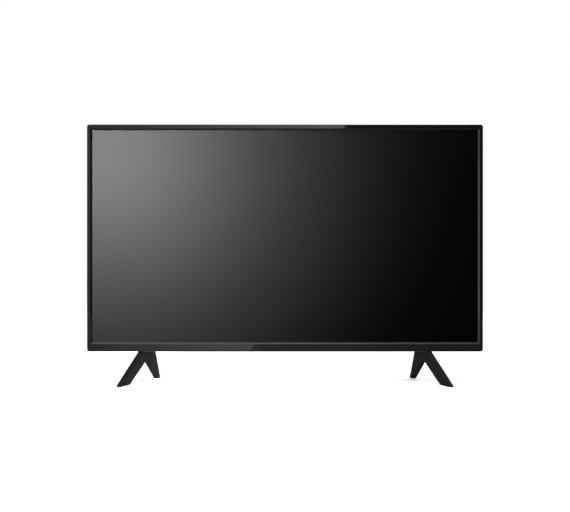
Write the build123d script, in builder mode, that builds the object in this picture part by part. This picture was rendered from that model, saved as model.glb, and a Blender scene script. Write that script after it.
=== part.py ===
"""A 43-inch class flat screen television on two splayed feet, made as it comes apart on a bench.

Millimetres. X is the viewer's right, Y runs from the screen to the back and Z is up. The origin
is on the floor, under the middle of the screen's face plane. The front bezel holds the liquid
crystal cell, the middle frame and the film stack against a pressed steel chassis, which carries
the lamp bars in front and the boards, brackets and loudspeakers behind. A moulded rear cover
closes the set, and the feet are screwed up through it into steel brackets.
"""

import os
from math import cos, radians, sin

from build123d import *

os.makedirs("parts", exist_ok=True)

# Driving dimensions of the whole set
cabinet_width = 966.0
cabinet_height = 554.0
cabinet_bottom = 75.0
opening_width = 941.0
opening_height = 517.5
top_band = 14.0
corner_radius = 6.0
cut_overrun = 5.0
running_gap = 0.3

# Front bezel: moulded frame with a sloped inner border
bezel_depth = 13.0
bezel_face = 3.0
bezel_wall = 2.2
border_slope_width = 4.2
border_slope_drop = 2.0
bezel_edge_radius = 1.2
bezel_rib_count = 8
bezel_rib_spacing = 118.0
bezel_rib_width = 1.6
bezel_rib_reach = 1.8

# Liquid crystal cell and its foam seat
cushion_thickness = 0.8
cushion_inset = 1.5
cushion_width = 4.0
polariser_thickness = 0.2
glass_thickness = 0.5
cell_overlap = 7.0
bond_ledge = 2.6

# Driver films and source boards, hidden in the lower band
film_count = 6
film_spacing = 140.0
film_width = 32.0
film_thickness = 0.2
film_clearance = 1.2
film_board_overlap = 7.5
film_bend_share = 0.98
source_board_length = 420.0
source_board_gap = 24.0
source_board_height = 8.5
source_board_thickness = 1.2
source_board_front = 11.2
link_width = 60.0
link_height = 5.0
link_thickness = 0.4

# Middle frame and film stack
ledge_thickness = 1.5
ledge_margin = 1.0
frame_wall_inner = 8.2
frame_wall_outer = 10.0
sheet_overlap = 7.5
sheet_thickness = 0.3
sheet_air_gap = 0.1
diffuser_plate_thickness = 1.5
reflector_thickness = 0.5

# Rear chassis: one pressed steel tray
chassis_sheet = 0.8
tray_mouth_margin = 2.0
tray_wall_run = 28.0
tray_floor_back = 34.0
bead_height = 3.0
bead_width = 16.0
long_bead_length = 560.0
long_bead_rise = 56.0
long_bead_count = 3
long_bead_centre = 482.0
side_bead_length = 120.0
side_bead_x = 372.0
dimple_radius = 8.0

# Lamp bars
bar_count = 2
bar_pitch = 220.0
bar_length = 850.0
bar_width = 15.0
bar_thickness = 1.0
lamps_per_bar = 7
lamp_pitch = 124.0
lens_radius = 8.0
lens_height = 6.0
lens_top_radius = 4.5
lens_cavity_radius = 3.0
lens_cavity_depth = 1.5
lamp_chip_size = 3.2
lamp_chip_height = 0.7
reflector_hole_radius = 10.0
support_columns = 4
support_spacing = 248.0
support_base_radius = 5.0
support_tip_radius = 1.2

# Rear cover
cover_front = 13.4
cover_step = 1.0
cover_wall = 2.5
rim_back = 24.0
slim_back = 42.0
slim_slope_run = 34.0
bulge_back = 82.0
bulge_base_half = 400.0
bulge_back_half = 378.0
bulge_shoulder = 402.0
bulge_top = 438.0
bulge_corner_radius = 10.0
pocket_floor = 43.5
pocket_bottom = 122.0
pocket_lip = 178.0
pocket_top = 346.0
pocket_wall_x = 330.0
pocket_end_x = 125.0
mains_pocket_x = 231.0
mains_pocket_width = 64.0
vent_count = 40
vent_spacing = 16.0
vent_width = 5.0
vent_height = 20.0
vent_centre = 419.0
high_vent_count = 30
high_vent_spacing = 12.0
high_vent_width = 4.0
high_vent_height = 16.0
high_vent_centre = 556.0

# Rear cover screws
cover_screw_outer_x = 426.0
cover_screw_inner_x = 260.0
cover_screw_top = 572.0
cover_screw_side_centre = 300.0
cover_screw_side_rise = 150.0
cover_screw_side_count = 3
cover_boss_radius = 5.5
cover_screw_head_radius = 3.2
cover_screw_head_height = 2.0
cover_screw_radius = 1.5
cover_screw_seat = 39.4
cover_screw_tip = 34.8
screw_clearance = 0.3
thread_clearance = 0.1

# Wall mounting points
vesa_spacing = 200.0
vesa_height = 270.0
vesa_bracket_width = 30.0
vesa_bracket_length = 262.0
vesa_bracket_height = 12.0
vesa_bracket_sheet = 2.0
vesa_post_radius = 7.0
vesa_thread_radius = 2.5
vesa_thread_depth = 22.0
vesa_post_recess = 1.0
vesa_hole_clearance = 1.0

# Boards, their standoffs and screws
standoff_height = 12.0
standoff_radius = 3.8
standoff_sides = 6
board_thickness = 1.6
board_corner_inset = 6.0
board_bottom = 183.0
board_height = 160.0
main_board_width = 190.0
main_board_left = -326.5
power_board_width = 180.0
power_board_left = 120.0
small_screw_radius = 1.3
small_screw_head_radius = 2.9
small_screw_head_height = 1.8
small_screw_length = 8.0

# Sockets, each as width, height off the board and depth
socket_setback = 0.5
socket_gap = 0.5
hdmi_body = (15.0, 6.2, 12.0)
hdmi_mouth = (14.0, 4.6, 9.0)
hdmi_tongue = (11.0, 1.4, 7.0)
hdmi_corner_cut = 1.4
usb_body = (14.4, 7.0, 15.0)
usb_mouth = (12.6, 5.2, 12.0)
usb_tongue = (11.0, 1.8, 9.0)
network_body = (16.0, 13.6, 17.0)
network_mouth = (11.8, 8.2, 14.0)
network_latch = (6.0, 2.4)
jack_body = (12.0, 9.0, 13.0)
jack_radius = 1.8
jack_collar_radius = 3.6
jack_collar_length = 2.5
jack_depth = 11.0
optical_body = (9.8, 9.8, 13.5)
optical_mouth = (8.2, 8.2, 11.0)
shutter_thickness = 0.8
shutter_setback = 0.6
shutter_pin_radius = 0.4
shutter_pin_clearance = 0.05
shutter_pin_reach = 0.5
tuner_body = (34.0, 11.0, 30.0)
aerial_barrel_radius = 4.7
aerial_barrel_length = 14.0
aerial_bore_radius = 2.2
aerial_bore_depth = 8.0
hdmi_side_heights = (318.0, 292.0)
usb_side_heights = (266.0, 242.0)
hdmi_lower_x = -300.0
optical_x = -276.0
jack_x = -254.0
network_x = -226.0
tuner_x = -186.0

# Main board parts
processor_size = 30.0
processor_height = 1.6
processor_place = (-220.0, 262.0)
memory_size = (14.0, 9.0)
memory_height = 1.1
memory_places = ((-182.0, 278.0), (-182.0, 250.0), (-220.0, 306.0))
main_sink_size = 42.0
main_sink_base = 3.0
main_sink_fins = 8
main_sink_fin_thickness = 1.2
main_sink_fin_height = 12.0
radio_size = (26.0, 16.0)
radio_height = 2.4
radio_place = (-165.0, 328.0)

# Power board parts
inlet_body = (22.0, 14.0, 24.0)
inlet_slot = (15.6, 8.8, 13.0)
inlet_pin_radius = 1.2
inlet_pin_spacing = 8.6
inlet_pin_length = 10.5
transformer_core = (36.0, 38.0)
transformer_winding = (28.0, 22.0)
transformer_height = 16.0
transformer_place = (192.0, 268.0)
bulk_radius = 11.0
bulk_height = 26.0
bulk_places = ((248.0, 300.0), (274.0, 300.0))
output_radius = 5.0
output_height = 20.0
output_places = ((146.0, 296.0), (146.0, 278.0), (146.0, 260.0))
power_sink_length = 60.0
power_sink_sheet = 3.0
power_sink_height = 24.0
power_sink_places = ((250.0, 268.0), (166.0, 226.0))
choke_size = (20.0, 24.0)
choke_height = 18.0
choke_place = (262.0, 214.0)

# Ribbons, plugs and leads
ribbon_width = 22.0
ribbon_thickness = 0.4
ribbon_bend = 3.0
ribbon_depth = 37.6
ribbon_start_height = 4.0
ribbon_places = (-300.0, -262.0)
ribbon_socket_height = 2.2
ribbon_socket_size = (26.0, 6.0)
ribbon_socket_z = 202.0
plug_size = 8.0
plug_height = 6.0
plug_inset = 9.0
left_speaker_plug_z = 202.0
key_plug_z = 212.0
right_speaker_plug_z = 222.0
power_plug_z = 238.0
power_plug_size = (12.0, 8.0)
lamp_plug_place = (284.0, 326.0)
harness_radius = 2.4
lead_radius = 1.2
lead_bend = 5.0
lead_hole_clearance = 0.8
speaker_lead_z = 100.0
left_lead_x = -115.0
right_lead_x = 60.0
key_lead_x = -30.0
lamp_lead_x = 310.0
key_lead_rise = 95.0

# Loudspeakers, one box each side of the middle, firing down
speaker_x = 200.0
speaker_length = 150.0
speaker_depth = 34.0
speaker_front = 40.0
speaker_height = 32.0
speaker_wall = 2.0
gasket_height = 2.0
gasket_width = 3.0
driver_length = 74.0
driver_width = 29.0
driver_rim = 4.0
driver_flange = 1.2
basket_wall = 0.8
basket_depth = 12.5
basket_back_length = 44.0
basket_back_width = 26.0
surround_height = 2.5
surround_seat = 1.9
surround_width = 2.0
cone_length = 58.0
cone_width = 13.0
cone_height = 5.0
cone_wall = 0.8
cone_top_length = 16.0
cone_top_width = 11.0
coil_radius = 5.0
coil_wall = 0.6
coil_length = 8.0
magnet_radius = 12.0
magnet_height = 9.0
magnet_slot_margin = 0.6
magnet_slot_depth = 7.5
cone_travel = 1.0
grille_slot_count = 8
grille_slot_spacing = 8.0
grille_slot_width = 3.5
grille_slot_length = 18.0

# Key and receiver board, over the middle of the cover's bottom
key_board_size = (76.0, 16.0)
key_board_y = 27.0
key_board_rise = 5.5
key_board_sheet = 1.2
key_boss_radius = 3.0
key_boss_offset = 33.0
button_x = 16.0
button_radius = 3.8
button_stand = 0.8
button_height = 5.0
button_flange_radius = 5.4
button_flange_height = 0.8
plunger_radius = 1.7
plunger_height = 1.6
switch_size = 6.2
switch_height = 2.8
switch_bore_depth = 2.0
receiver_x = -16.0
receiver_size = (6.0, 5.0)
receiver_height = 3.4
window_size = (16.0, 7.0)
window_flange = 1.5
window_flange_height = 1.0
window_gap = 0.2

# Feet: flat V blades turned out from straight ahead
foot_x = 341.6
foot_y = 40.0
foot_turn = 20.0
foot_thickness = 12.0
foot_root_half = 35.0
rear_reach = 62.9
rear_tip_length = 15.2
front_tip_length = 51.2
notch_place = 9.5
notch_height = 53.6
notch_radius = 8.0
foot_edge_radius = 1.5
pad_thickness = 1.5
pad_inset = 1.6
foot_seat_margin = 1.0
foot_screw_places = (-6.0, 24.0)
foot_screw_radius = 2.0
foot_screw_head_radius = 3.6
foot_screw_head_height = 3.0
foot_screw_seat_depth = 13.0
foot_screw_reach = 9.0
foot_tongue_length = 16.0
foot_tongue_width = 5.0
foot_tongue_height = 3.0
foot_bracket_width = 46.0
foot_bracket_sheet = 2.5
foot_bracket_front = 14.5
foot_bracket_back = 71.0
foot_bracket_top = 165.0
foot_bracket_gusset = 30.0
bracket_screw_inset = 12.0

# Heights and depths that follow from the driving dimensions
cabinet_centre = cabinet_bottom + cabinet_height / 2
cabinet_top = cabinet_bottom + cabinet_height
opening_top = cabinet_top - top_band
opening_bottom = opening_top - opening_height
opening_centre = opening_bottom + opening_height / 2
ledge_bottom = opening_bottom - cell_overlap - bond_ledge
source_board_bottom = cabinet_bottom + bezel_wall + bezel_rib_reach
source_board_back = source_board_front + source_board_thickness

front_polariser_front = bezel_face + cushion_thickness
front_glass_front = front_polariser_front + polariser_thickness
rear_glass_front = front_glass_front + glass_thickness
rear_polariser_front = rear_glass_front + glass_thickness
ledge_front = rear_polariser_front + polariser_thickness
sheet_front = ledge_front + ledge_thickness
rear_sheet_front = sheet_front + sheet_thickness + sheet_air_gap
diffuser_plate_front = rear_sheet_front + sheet_thickness
reflector_front = diffuser_plate_front + diffuser_plate_thickness
chassis_front = reflector_front + reflector_thickness

tray_floor_front = tray_floor_back - chassis_sheet
bar_front = tray_floor_front - bar_thickness
reflector_floor_front = bar_front - reflector_thickness
bead_back = tray_floor_back + bead_height
board_front = tray_floor_back + standoff_height
board_back = board_front + board_thickness
board_centre = board_bottom + board_height / 2
main_board_right = main_board_left + main_board_width
main_board_x = main_board_left + main_board_width / 2
power_board_x = power_board_left + power_board_width / 2
cover_bottom = cabinet_bottom + cover_step
cover_floor = cover_bottom + cover_wall
cover_inner_back = slim_back - cover_wall
side_mouth_x = socket_setback - pocket_wall_x
lower_mouth_z = pocket_lip + socket_setback
lead_depth = board_back + plug_height / 2
main_plug_x = main_board_right - plug_inset
power_plug_x = power_board_left + plug_inset
lamp_lead_height = opening_centre - bar_pitch * (bar_count - 1) / 2
vesa_bracket_back = tray_floor_back + vesa_bracket_height
vesa_post_back = bulge_back - vesa_post_recess

speaker_bottom = cover_floor + gasket_height
speaker_y = speaker_front + speaker_depth / 2
driver_bottom = speaker_bottom + speaker_wall
flange_top = driver_bottom + driver_flange
cone_bottom = flange_top + surround_height
cone_top = cone_bottom + cone_height
basket_top = flange_top + basket_depth

key_board_bottom = cover_floor + key_board_rise
button_bottom = cover_bottom - button_stand
button_top = button_bottom + button_height
foot_seat_z = cabinet_bottom
foot_bracket_bottom = cover_floor
front_reach = rear_reach + 2 * foot_y / cos(radians(foot_turn))

LOW = (Align.CENTER, Align.CENTER, Align.MIN)
LOW_EDGE = (Align.CENTER, Align.MIN)
DOWN = (0, 0, -1)
TO_SIDE = (-1, 0, 0)


def at_depth(depth):
    """Sketch plane parallel to the screen. Local x is X and local y is Z, and it faces the viewer."""
    return Plane.XZ.offset(-depth)


def at_mouth(x, z, out):
    """Sketch plane on the mouth of a board's socket: local z points out and local y off the board."""
    across = Vector(0, 1, 0).cross(Vector(*out))
    return Plane(origin=(x, board_back, z), x_dir=across, z_dir=out)


def save(piece, label):
    """Names a finished piece and writes it to its own file."""
    piece.part.label = label
    export_step(piece.part, f"parts/{label}.step")


def screen_rectangle(margin, mode=Mode.ADD):
    """Rectangle about the screen opening, larger by the margin on every side."""
    with Locations((0, opening_centre)):
        Rectangle(opening_width + 2 * margin, opening_height + 2 * margin, mode=mode)


def frame_rectangle():
    """Outline shared by the middle frame and the chassis rim, rounded to fit in the bezel's corners."""
    margin = 2 * frame_wall_outer
    with Locations((0, opening_centre)):
        RectangleRounded(opening_width + margin, opening_height + margin, corner_radius - bezel_wall)


def cabinet_rectangle(inset, radius):
    """Round-cornered rectangle about the cabinet's middle, smaller by the inset on every side."""
    with Locations((0, cabinet_centre)):
        RectangleRounded(cabinet_width - 2 * inset, cabinet_height - 2 * inset, radius)


def flat_sheet(margin, front, thickness):
    """One flat sheet of the display stack."""
    with BuildPart() as sheet:
        with BuildSketch(at_depth(front)):
            screen_rectangle(margin)
        extrude(amount=-thickness)
    return sheet


def tapered_tray(margin, front, back):
    """A solid tray form whose walls run in from the screen opening's margin."""
    with BuildPart() as form:
        with BuildSketch(at_depth(front)):
            screen_rectangle(margin)
        with BuildSketch(at_depth(back)):
            screen_rectangle(margin - tray_wall_run)
        loft(ruled=True)
    return form.part


# Display: bezel, cushions, cell, middle frame and films


def make_front_bezel():
    """Frame with a side wall, a sloped border round the screen and short ribs in the lower band."""
    with BuildPart() as front_bezel:
        with BuildSketch(at_depth(0)):
            cabinet_rectangle(0, corner_radius)
        extrude(amount=-bezel_depth)
        fillet(front_bezel.faces().sort_by(Axis.Y)[0].edges(), bezel_edge_radius)
        with BuildSketch(at_depth(bezel_face)):
            cabinet_rectangle(bezel_wall, corner_radius - bezel_wall)
        extrude(amount=-bezel_depth, mode=Mode.SUBTRACT)
        with BuildSketch(at_depth(0)):
            screen_rectangle(0)
        extrude(amount=-bezel_depth, mode=Mode.SUBTRACT)
        with BuildSketch(at_depth(0)):
            screen_rectangle(border_slope_width)
        with BuildSketch(at_depth(border_slope_drop)):
            screen_rectangle(0)
        loft(ruled=True, mode=Mode.SUBTRACT)
        with BuildSketch(at_depth(bezel_face)):
            with Locations((0, cabinet_bottom + bezel_wall)):
                with GridLocations(bezel_rib_spacing, 0, bezel_rib_count, 1):
                    Rectangle(bezel_rib_width, bezel_rib_reach, align=LOW_EDGE)
        extrude(amount=bezel_face - bezel_depth)
    save(front_bezel, "front_bezel")


def make_panel_cushions():
    """Four foam strips between the bezel's border and the cell."""
    across = opening_width + 2 * (cushion_inset + cushion_width)
    upright = opening_height + 2 * (cushion_inset - running_gap)
    side_x = opening_width / 2 + cushion_inset + cushion_width / 2
    end_z = opening_height / 2 + cushion_inset + cushion_width / 2
    with BuildPart() as panel_cushions:
        with BuildSketch(at_depth(bezel_face)):
            with Locations((0, opening_centre + end_z), (0, opening_centre - end_z)):
                Rectangle(across, cushion_width)
            with Locations((side_x, opening_centre), (-side_x, opening_centre)):
                Rectangle(cushion_width, upright)
        extrude(amount=-cushion_thickness)
    save(panel_cushions, "panel_cushions")


def make_cell():
    """Two glass panes and their polarisers. The rear pane is longer below, for the driver films."""
    save(flat_sheet(cell_overlap, front_polariser_front, polariser_thickness), "front_polariser")
    save(flat_sheet(cell_overlap, front_glass_front, glass_thickness), "colour_filter_glass")
    save(flat_sheet(cell_overlap, rear_polariser_front, polariser_thickness), "rear_polariser")
    with BuildPart() as tft_glass:
        with BuildSketch(at_depth(rear_glass_front)):
            screen_rectangle(cell_overlap)
            with Locations((0, ledge_bottom)):
                Rectangle(opening_width + 2 * cell_overlap, bond_ledge, align=LOW_EDGE)
        extrude(amount=-glass_thickness)
    save(tft_glass, "tft_glass")


def make_driver_films():
    """Flexible films that fold from the rear glass under the frame and up to the source boards."""
    film_front = rear_glass_front - film_thickness / 2
    film_back = source_board_front - film_thickness / 2
    film_low = source_board_bottom + film_clearance
    route = (
        (film_front, ledge_bottom + bond_ledge - running_gap),
        (film_front, film_low),
        (film_back, film_low),
        (film_back, source_board_bottom + film_board_overlap),
    )
    with BuildPart() as driver_films:
        for index in range(film_count):
            middle = (index - (film_count - 1) / 2) * film_spacing
            with BuildSketch(Plane.YZ.offset(middle)):
                with BuildLine():
                    FilletPolyline(*route, radius=(film_back - film_front) / 2 * film_bend_share)
                trace(line_width=film_thickness)
            extrude(amount=film_width / 2, both=True)
    save(driver_films, "driver_films")


def make_source_boards():
    """Two narrow boards that stand on the bezel's ribs, joined by a short ribbon in the middle."""
    board_x = (source_board_length + source_board_gap) / 2
    with BuildPart() as source_boards:
        with BuildSketch(at_depth(source_board_front)):
            with Locations((board_x, source_board_bottom), (-board_x, source_board_bottom)):
                Rectangle(source_board_length, source_board_height, align=LOW_EDGE)
        extrude(amount=-source_board_thickness)
        with BuildSketch(at_depth(source_board_back)):
            with Locations((0, source_board_bottom + source_board_height / 2)):
                Rectangle(link_width, link_height)
        extrude(amount=-link_thickness)
    save(source_boards, "source_boards")


def make_middle_frame():
    """Plastic frame: a ledge behind the cell, and walls on three sides that locate it."""
    wall = frame_wall_outer - frame_wall_inner
    wall_x = opening_width / 2 + frame_wall_inner + wall / 2
    wall_front = bezel_face + running_gap
    with BuildPart() as middle_frame:
        with BuildSketch(at_depth(ledge_front)):
            frame_rectangle()
            screen_rectangle(ledge_margin, mode=Mode.SUBTRACT)
        extrude(amount=-ledge_thickness)
        with BuildSketch(at_depth(sheet_front)):
            frame_rectangle()
            screen_rectangle(frame_wall_inner, mode=Mode.SUBTRACT)
        extrude(amount=sheet_front - chassis_front)
        with BuildSketch(at_depth(wall_front)):
            with Locations((wall_x, opening_centre), (-wall_x, opening_centre)):
                Rectangle(wall, opening_height)
            with Locations((0, opening_top + frame_wall_inner)):
                Rectangle(opening_width, wall, align=LOW_EDGE)
        extrude(amount=wall_front - ledge_front)
    save(middle_frame, "middle_frame")


def make_film_stack():
    """Prism sheet and diffuser sheet in front of the stiff diffuser plate."""
    with BuildPart() as optical_sheets:
        for front in (sheet_front, rear_sheet_front):
            with BuildSketch(at_depth(front)):
                screen_rectangle(sheet_overlap)
            extrude(amount=-sheet_thickness)
    save(optical_sheets, "optical_sheets")
    save(flat_sheet(sheet_overlap, diffuser_plate_front, diffuser_plate_thickness), "diffuser_plate")


# Back light: reflector, lamp bars, lenses and supports


def lamp_places():
    """Centres of the lamps, across and up from the middle of the screen."""
    return GridLocations(lamp_pitch, bar_pitch, lamps_per_bar, bar_count)


def make_reflector():
    """White folded sheet that lines the chassis, holed where the lenses stand through it."""
    outer_margin = tray_mouth_margin - chassis_sheet - running_gap
    outer = tapered_tray(outer_margin, reflector_front, bar_front)
    inner = tapered_tray(outer_margin - reflector_thickness, reflector_front, reflector_floor_front)
    with BuildPart() as reflector_sheet:
        with BuildSketch(at_depth(reflector_front)):
            screen_rectangle(sheet_overlap)
        extrude(amount=-reflector_thickness)
        add(outer)
        add(inner, mode=Mode.SUBTRACT)
        with BuildSketch(at_depth(reflector_floor_front)):
            with Locations((0, opening_centre)):
                with lamp_places():
                    Circle(reflector_hole_radius)
        extrude(amount=-reflector_thickness, mode=Mode.SUBTRACT)
    save(reflector_sheet, "reflector_sheet")


def make_lamp_bars():
    """Aluminium-backed strips with their lamps, stuck to the floor of the chassis."""
    with BuildPart() as lamp_bars:
        with BuildSketch(at_depth(bar_front)):
            with Locations((0, opening_centre)):
                with GridLocations(0, bar_pitch, 1, bar_count):
                    Rectangle(bar_length, bar_width)
        extrude(amount=-bar_thickness)
        with BuildSketch(at_depth(bar_front)):
            with Locations((0, opening_centre)):
                with lamp_places():
                    Rectangle(lamp_chip_size, lamp_chip_size)
        extrude(amount=lamp_chip_height)
    save(lamp_bars, "lamp_bars")


def make_lamp_lenses():
    """Clear caps that spread each lamp's light, hollow over the chip."""
    with BuildPart(at_depth(bar_front)) as lamp_lenses:
        with Locations((0, opening_centre)):
            with lamp_places():
                Cone(lens_radius, lens_top_radius, lens_height, align=LOW)
                Cylinder(lens_cavity_radius, lens_cavity_depth, align=LOW, mode=Mode.SUBTRACT)
    save(lamp_lenses, "lamp_lenses")


def make_diffuser_supports():
    """Slender cones from the reflector to the diffuser plate, in the gaps between the bars."""
    reach = reflector_floor_front - reflector_front
    with BuildPart(at_depth(reflector_floor_front)) as diffuser_supports:
        with Locations((0, opening_centre)):
            with GridLocations(support_spacing, bar_pitch, support_columns, bar_count - 1):
                Cone(support_base_radius, support_tip_radius, reach, align=LOW)
    save(diffuser_supports, "diffuser_supports")


# Chassis and what is riveted or pressed to it


def cover_screw_places():
    """Places of the rear cover's screws, as X and Z: both sides and along the top."""
    side_heights = [
        cover_screw_side_centre + (index - (cover_screw_side_count - 1) / 2) * cover_screw_side_rise
        for index in range(cover_screw_side_count)
    ]
    top = [(x, cover_screw_top) for x in (cover_screw_inner_x, cover_screw_outer_x)]
    right = [(cover_screw_outer_x, z) for z in side_heights] + top
    return right + [(-x, z) for x, z in right]


def bracket_screw_places():
    """Places of the foot bracket screws, as X and Z, two on each upright."""
    height = foot_bracket_top - bracket_screw_inset
    offset = foot_bracket_width / 2 - bracket_screw_inset
    return [(side * foot_x + step, height) for side in (-1, 1) for step in (-offset, offset)]


def board_screw_places():
    """Places of the standoffs under both boards, as X and Z."""
    across = main_board_width / 2 - board_corner_inset, power_board_width / 2 - board_corner_inset
    rise = board_height / 2 - board_corner_inset
    return [
        (middle + side * offset, board_centre + end * rise)
        for middle, offset in zip((main_board_x, power_board_x), across)
        for side in (-1, 1)
        for end in (-1, 1)
    ]


def make_rear_chassis():
    """Pressed tray with a rim, stiffening beads and a raised dimple under each cover screw."""
    outer = tapered_tray(tray_mouth_margin, chassis_front, tray_floor_back)
    inner = tapered_tray(tray_mouth_margin - chassis_sheet, chassis_front, tray_floor_front)
    with BuildPart() as rear_chassis:
        with BuildSketch(at_depth(chassis_front)):
            frame_rectangle()
        extrude(amount=-chassis_sheet)
        add(outer)
        add(inner, mode=Mode.SUBTRACT)
        for shrink, front, mode in (
            (0, tray_floor_back, Mode.ADD),
            (chassis_sheet, tray_floor_front, Mode.SUBTRACT),
        ):
            with BuildSketch(at_depth(front)):
                with Locations((0, long_bead_centre)):
                    with GridLocations(0, long_bead_rise, 1, long_bead_count):
                        SlotOverall(long_bead_length - 2 * shrink, bead_width - 2 * shrink)
                with Locations((side_bead_x, long_bead_centre), (-side_bead_x, long_bead_centre)):
                    SlotOverall(side_bead_length - 2 * shrink, bead_width - 2 * shrink, rotation=90)
                with Locations(*cover_screw_places()):
                    Circle(dimple_radius - shrink)
            extrude(amount=-bead_height, mode=mode)
        with BuildSketch(at_depth(tray_floor_front)):
            with Locations(*cover_screw_places()):
                Circle(cover_screw_radius + thread_clearance)
            with Locations(*bracket_screw_places()):
                Circle(small_screw_radius + thread_clearance)
            with Locations((lamp_lead_x, lamp_lead_height)):
                Circle(lead_radius + lead_hole_clearance)
        extrude(amount=-(bead_height + cut_overrun), mode=Mode.SUBTRACT)
    save(rear_chassis, "rear_chassis")


def make_vesa_mounting():
    """Two riveted channels, and the four threaded posts that come through the rear cover."""
    inner_width = vesa_bracket_width - 2 * vesa_bracket_sheet
    with BuildPart() as vesa_brackets:
        with BuildSketch(Plane.XY.offset(vesa_height)):
            with Locations((vesa_spacing / 2, tray_floor_back), (-vesa_spacing / 2, tray_floor_back)):
                Rectangle(vesa_bracket_width, vesa_bracket_height, align=LOW_EDGE)
                Rectangle(
                    inner_width,
                    vesa_bracket_height - vesa_bracket_sheet,
                    align=LOW_EDGE,
                    mode=Mode.SUBTRACT,
                )
        extrude(amount=vesa_bracket_length / 2, both=True)
    save(vesa_brackets, "vesa_brackets")

    with BuildPart() as vesa_posts:
        with BuildSketch(at_depth(vesa_bracket_back)):
            with Locations((0, vesa_height)):
                with GridLocations(vesa_spacing, vesa_spacing, 2, 2):
                    Circle(vesa_post_radius)
        extrude(amount=vesa_bracket_back - vesa_post_back)
        with BuildSketch(at_depth(vesa_post_back)):
            with Locations((0, vesa_height)):
                with GridLocations(vesa_spacing, vesa_spacing, 2, 2):
                    Circle(vesa_thread_radius)
        extrude(amount=vesa_thread_depth, mode=Mode.SUBTRACT)
    save(vesa_posts, "vesa_posts")


def make_foot_brackets():
    """Folded steel angles that tie each foot's screws to the chassis, with a gusset at each end."""
    gusset_x = (foot_bracket_width - foot_bracket_sheet) / 2
    upright_back = tray_floor_back + foot_bracket_sheet
    plate_top = foot_bracket_bottom + foot_bracket_sheet
    with BuildPart() as foot_brackets:
        with BuildSketch(Plane.XY.offset(foot_bracket_bottom)):
            with Locations((foot_x, foot_bracket_front), (-foot_x, foot_bracket_front)):
                Rectangle(foot_bracket_width, foot_bracket_back - foot_bracket_front, align=LOW_EDGE)
        extrude(amount=foot_bracket_sheet)
        with BuildSketch(at_depth(tray_floor_back)):
            with Locations((foot_x, foot_bracket_bottom), (-foot_x, foot_bracket_bottom)):
                Rectangle(foot_bracket_width, foot_bracket_top - foot_bracket_bottom, align=LOW_EDGE)
        extrude(amount=-foot_bracket_sheet)
        for middle in (foot_x - gusset_x, foot_x + gusset_x, -foot_x - gusset_x, gusset_x - foot_x):
            with BuildSketch(Plane.YZ.offset(middle)):
                with BuildLine():
                    Polyline(
                        (upright_back, plate_top),
                        (upright_back + foot_bracket_gusset, plate_top),
                        (upright_back, plate_top + foot_bracket_gusset),
                        close=True,
                    )
                make_face()
            extrude(amount=foot_bracket_sheet / 2, both=True)
        for side in (-1, 1):
            with BuildSketch(foot_plan(side, foot_bracket_bottom)):
                with Locations(*[(place, 0) for place in foot_screw_places]):
                    Circle(foot_screw_radius + thread_clearance)
            extrude(amount=foot_bracket_sheet, mode=Mode.SUBTRACT)
        with BuildSketch(at_depth(tray_floor_back)):
            with Locations(*bracket_screw_places()):
                Circle(small_screw_radius + screw_clearance)
        extrude(amount=-foot_bracket_sheet, mode=Mode.SUBTRACT)
    save(foot_brackets, "foot_brackets")


def make_board_standoffs():
    """Six-sided threaded standoffs riveted to the chassis under both boards."""
    with BuildPart() as board_standoffs:
        with BuildSketch(at_depth(tray_floor_back)):
            with Locations(*board_screw_places()):
                RegularPolygon(standoff_radius, standoff_sides)
                Circle(small_screw_radius + thread_clearance, mode=Mode.SUBTRACT)
        extrude(amount=-standoff_height)
    save(board_standoffs, "board_standoffs")


def make_chassis_screws():
    """Small screws that hold both boards on their standoffs and the foot brackets on the chassis."""
    bracket_seat = tray_floor_back + foot_bracket_sheet
    bracket_reach = foot_bracket_sheet + chassis_sheet
    with BuildPart() as chassis_screws:
        for places, seat, length in (
            (board_screw_places(), board_back, small_screw_length),
            (bracket_screw_places(), bracket_seat, bracket_reach),
        ):
            with BuildSketch(at_depth(seat)):
                with Locations(*places):
                    Circle(small_screw_head_radius)
            extrude(amount=-small_screw_head_height)
            with BuildSketch(at_depth(seat)):
                with Locations(*places):
                    Circle(small_screw_radius)
            extrude(amount=length)
    save(chassis_screws, "chassis_screws")


# Boards and what is soldered to them


def make_board(label, middle, width):
    """One circuit board with a hole over each of its standoffs."""
    with BuildPart() as board:
        with BuildSketch(at_depth(board_front)):
            with Locations((middle, board_centre)):
                Rectangle(width, board_height)
                with GridLocations(
                    width - 2 * board_corner_inset,
                    board_height - 2 * board_corner_inset,
                    2,
                    2,
                ):
                    Circle(small_screw_radius + screw_clearance, mode=Mode.SUBTRACT)
        extrude(amount=-board_thickness)
    save(board, label)


def make_board_chips():
    """The main processor and three memory chips."""
    with BuildPart() as board_chips:
        with BuildSketch(at_depth(board_back)):
            with Locations(processor_place):
                Rectangle(processor_size, processor_size)
        extrude(amount=-processor_height)
        with BuildSketch(at_depth(board_back)):
            with Locations(*memory_places):
                Rectangle(*memory_size)
        extrude(amount=-memory_height)
    save(board_chips, "board_chips")


def make_heat_sinks():
    """Finned block on the processor, and two upright plates on the power board."""
    base_front = board_back + processor_height
    fin_front = base_front + main_sink_base
    fin_pitch = (main_sink_size - main_sink_fin_thickness) / (main_sink_fins - 1)
    with BuildPart() as heat_sinks:
        with BuildSketch(at_depth(base_front)):
            with Locations(processor_place):
                Rectangle(main_sink_size, main_sink_size)
        extrude(amount=-main_sink_base)
        with BuildSketch(at_depth(fin_front)):
            with Locations(processor_place):
                with GridLocations(fin_pitch, 0, main_sink_fins, 1):
                    Rectangle(main_sink_fin_thickness, main_sink_size)
        extrude(amount=-main_sink_fin_height)
        with BuildSketch(at_depth(board_back)):
            with Locations(*power_sink_places):
                Rectangle(power_sink_length, power_sink_sheet)
        extrude(amount=-power_sink_height)
    save(heat_sinks, "heat_sinks")


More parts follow.
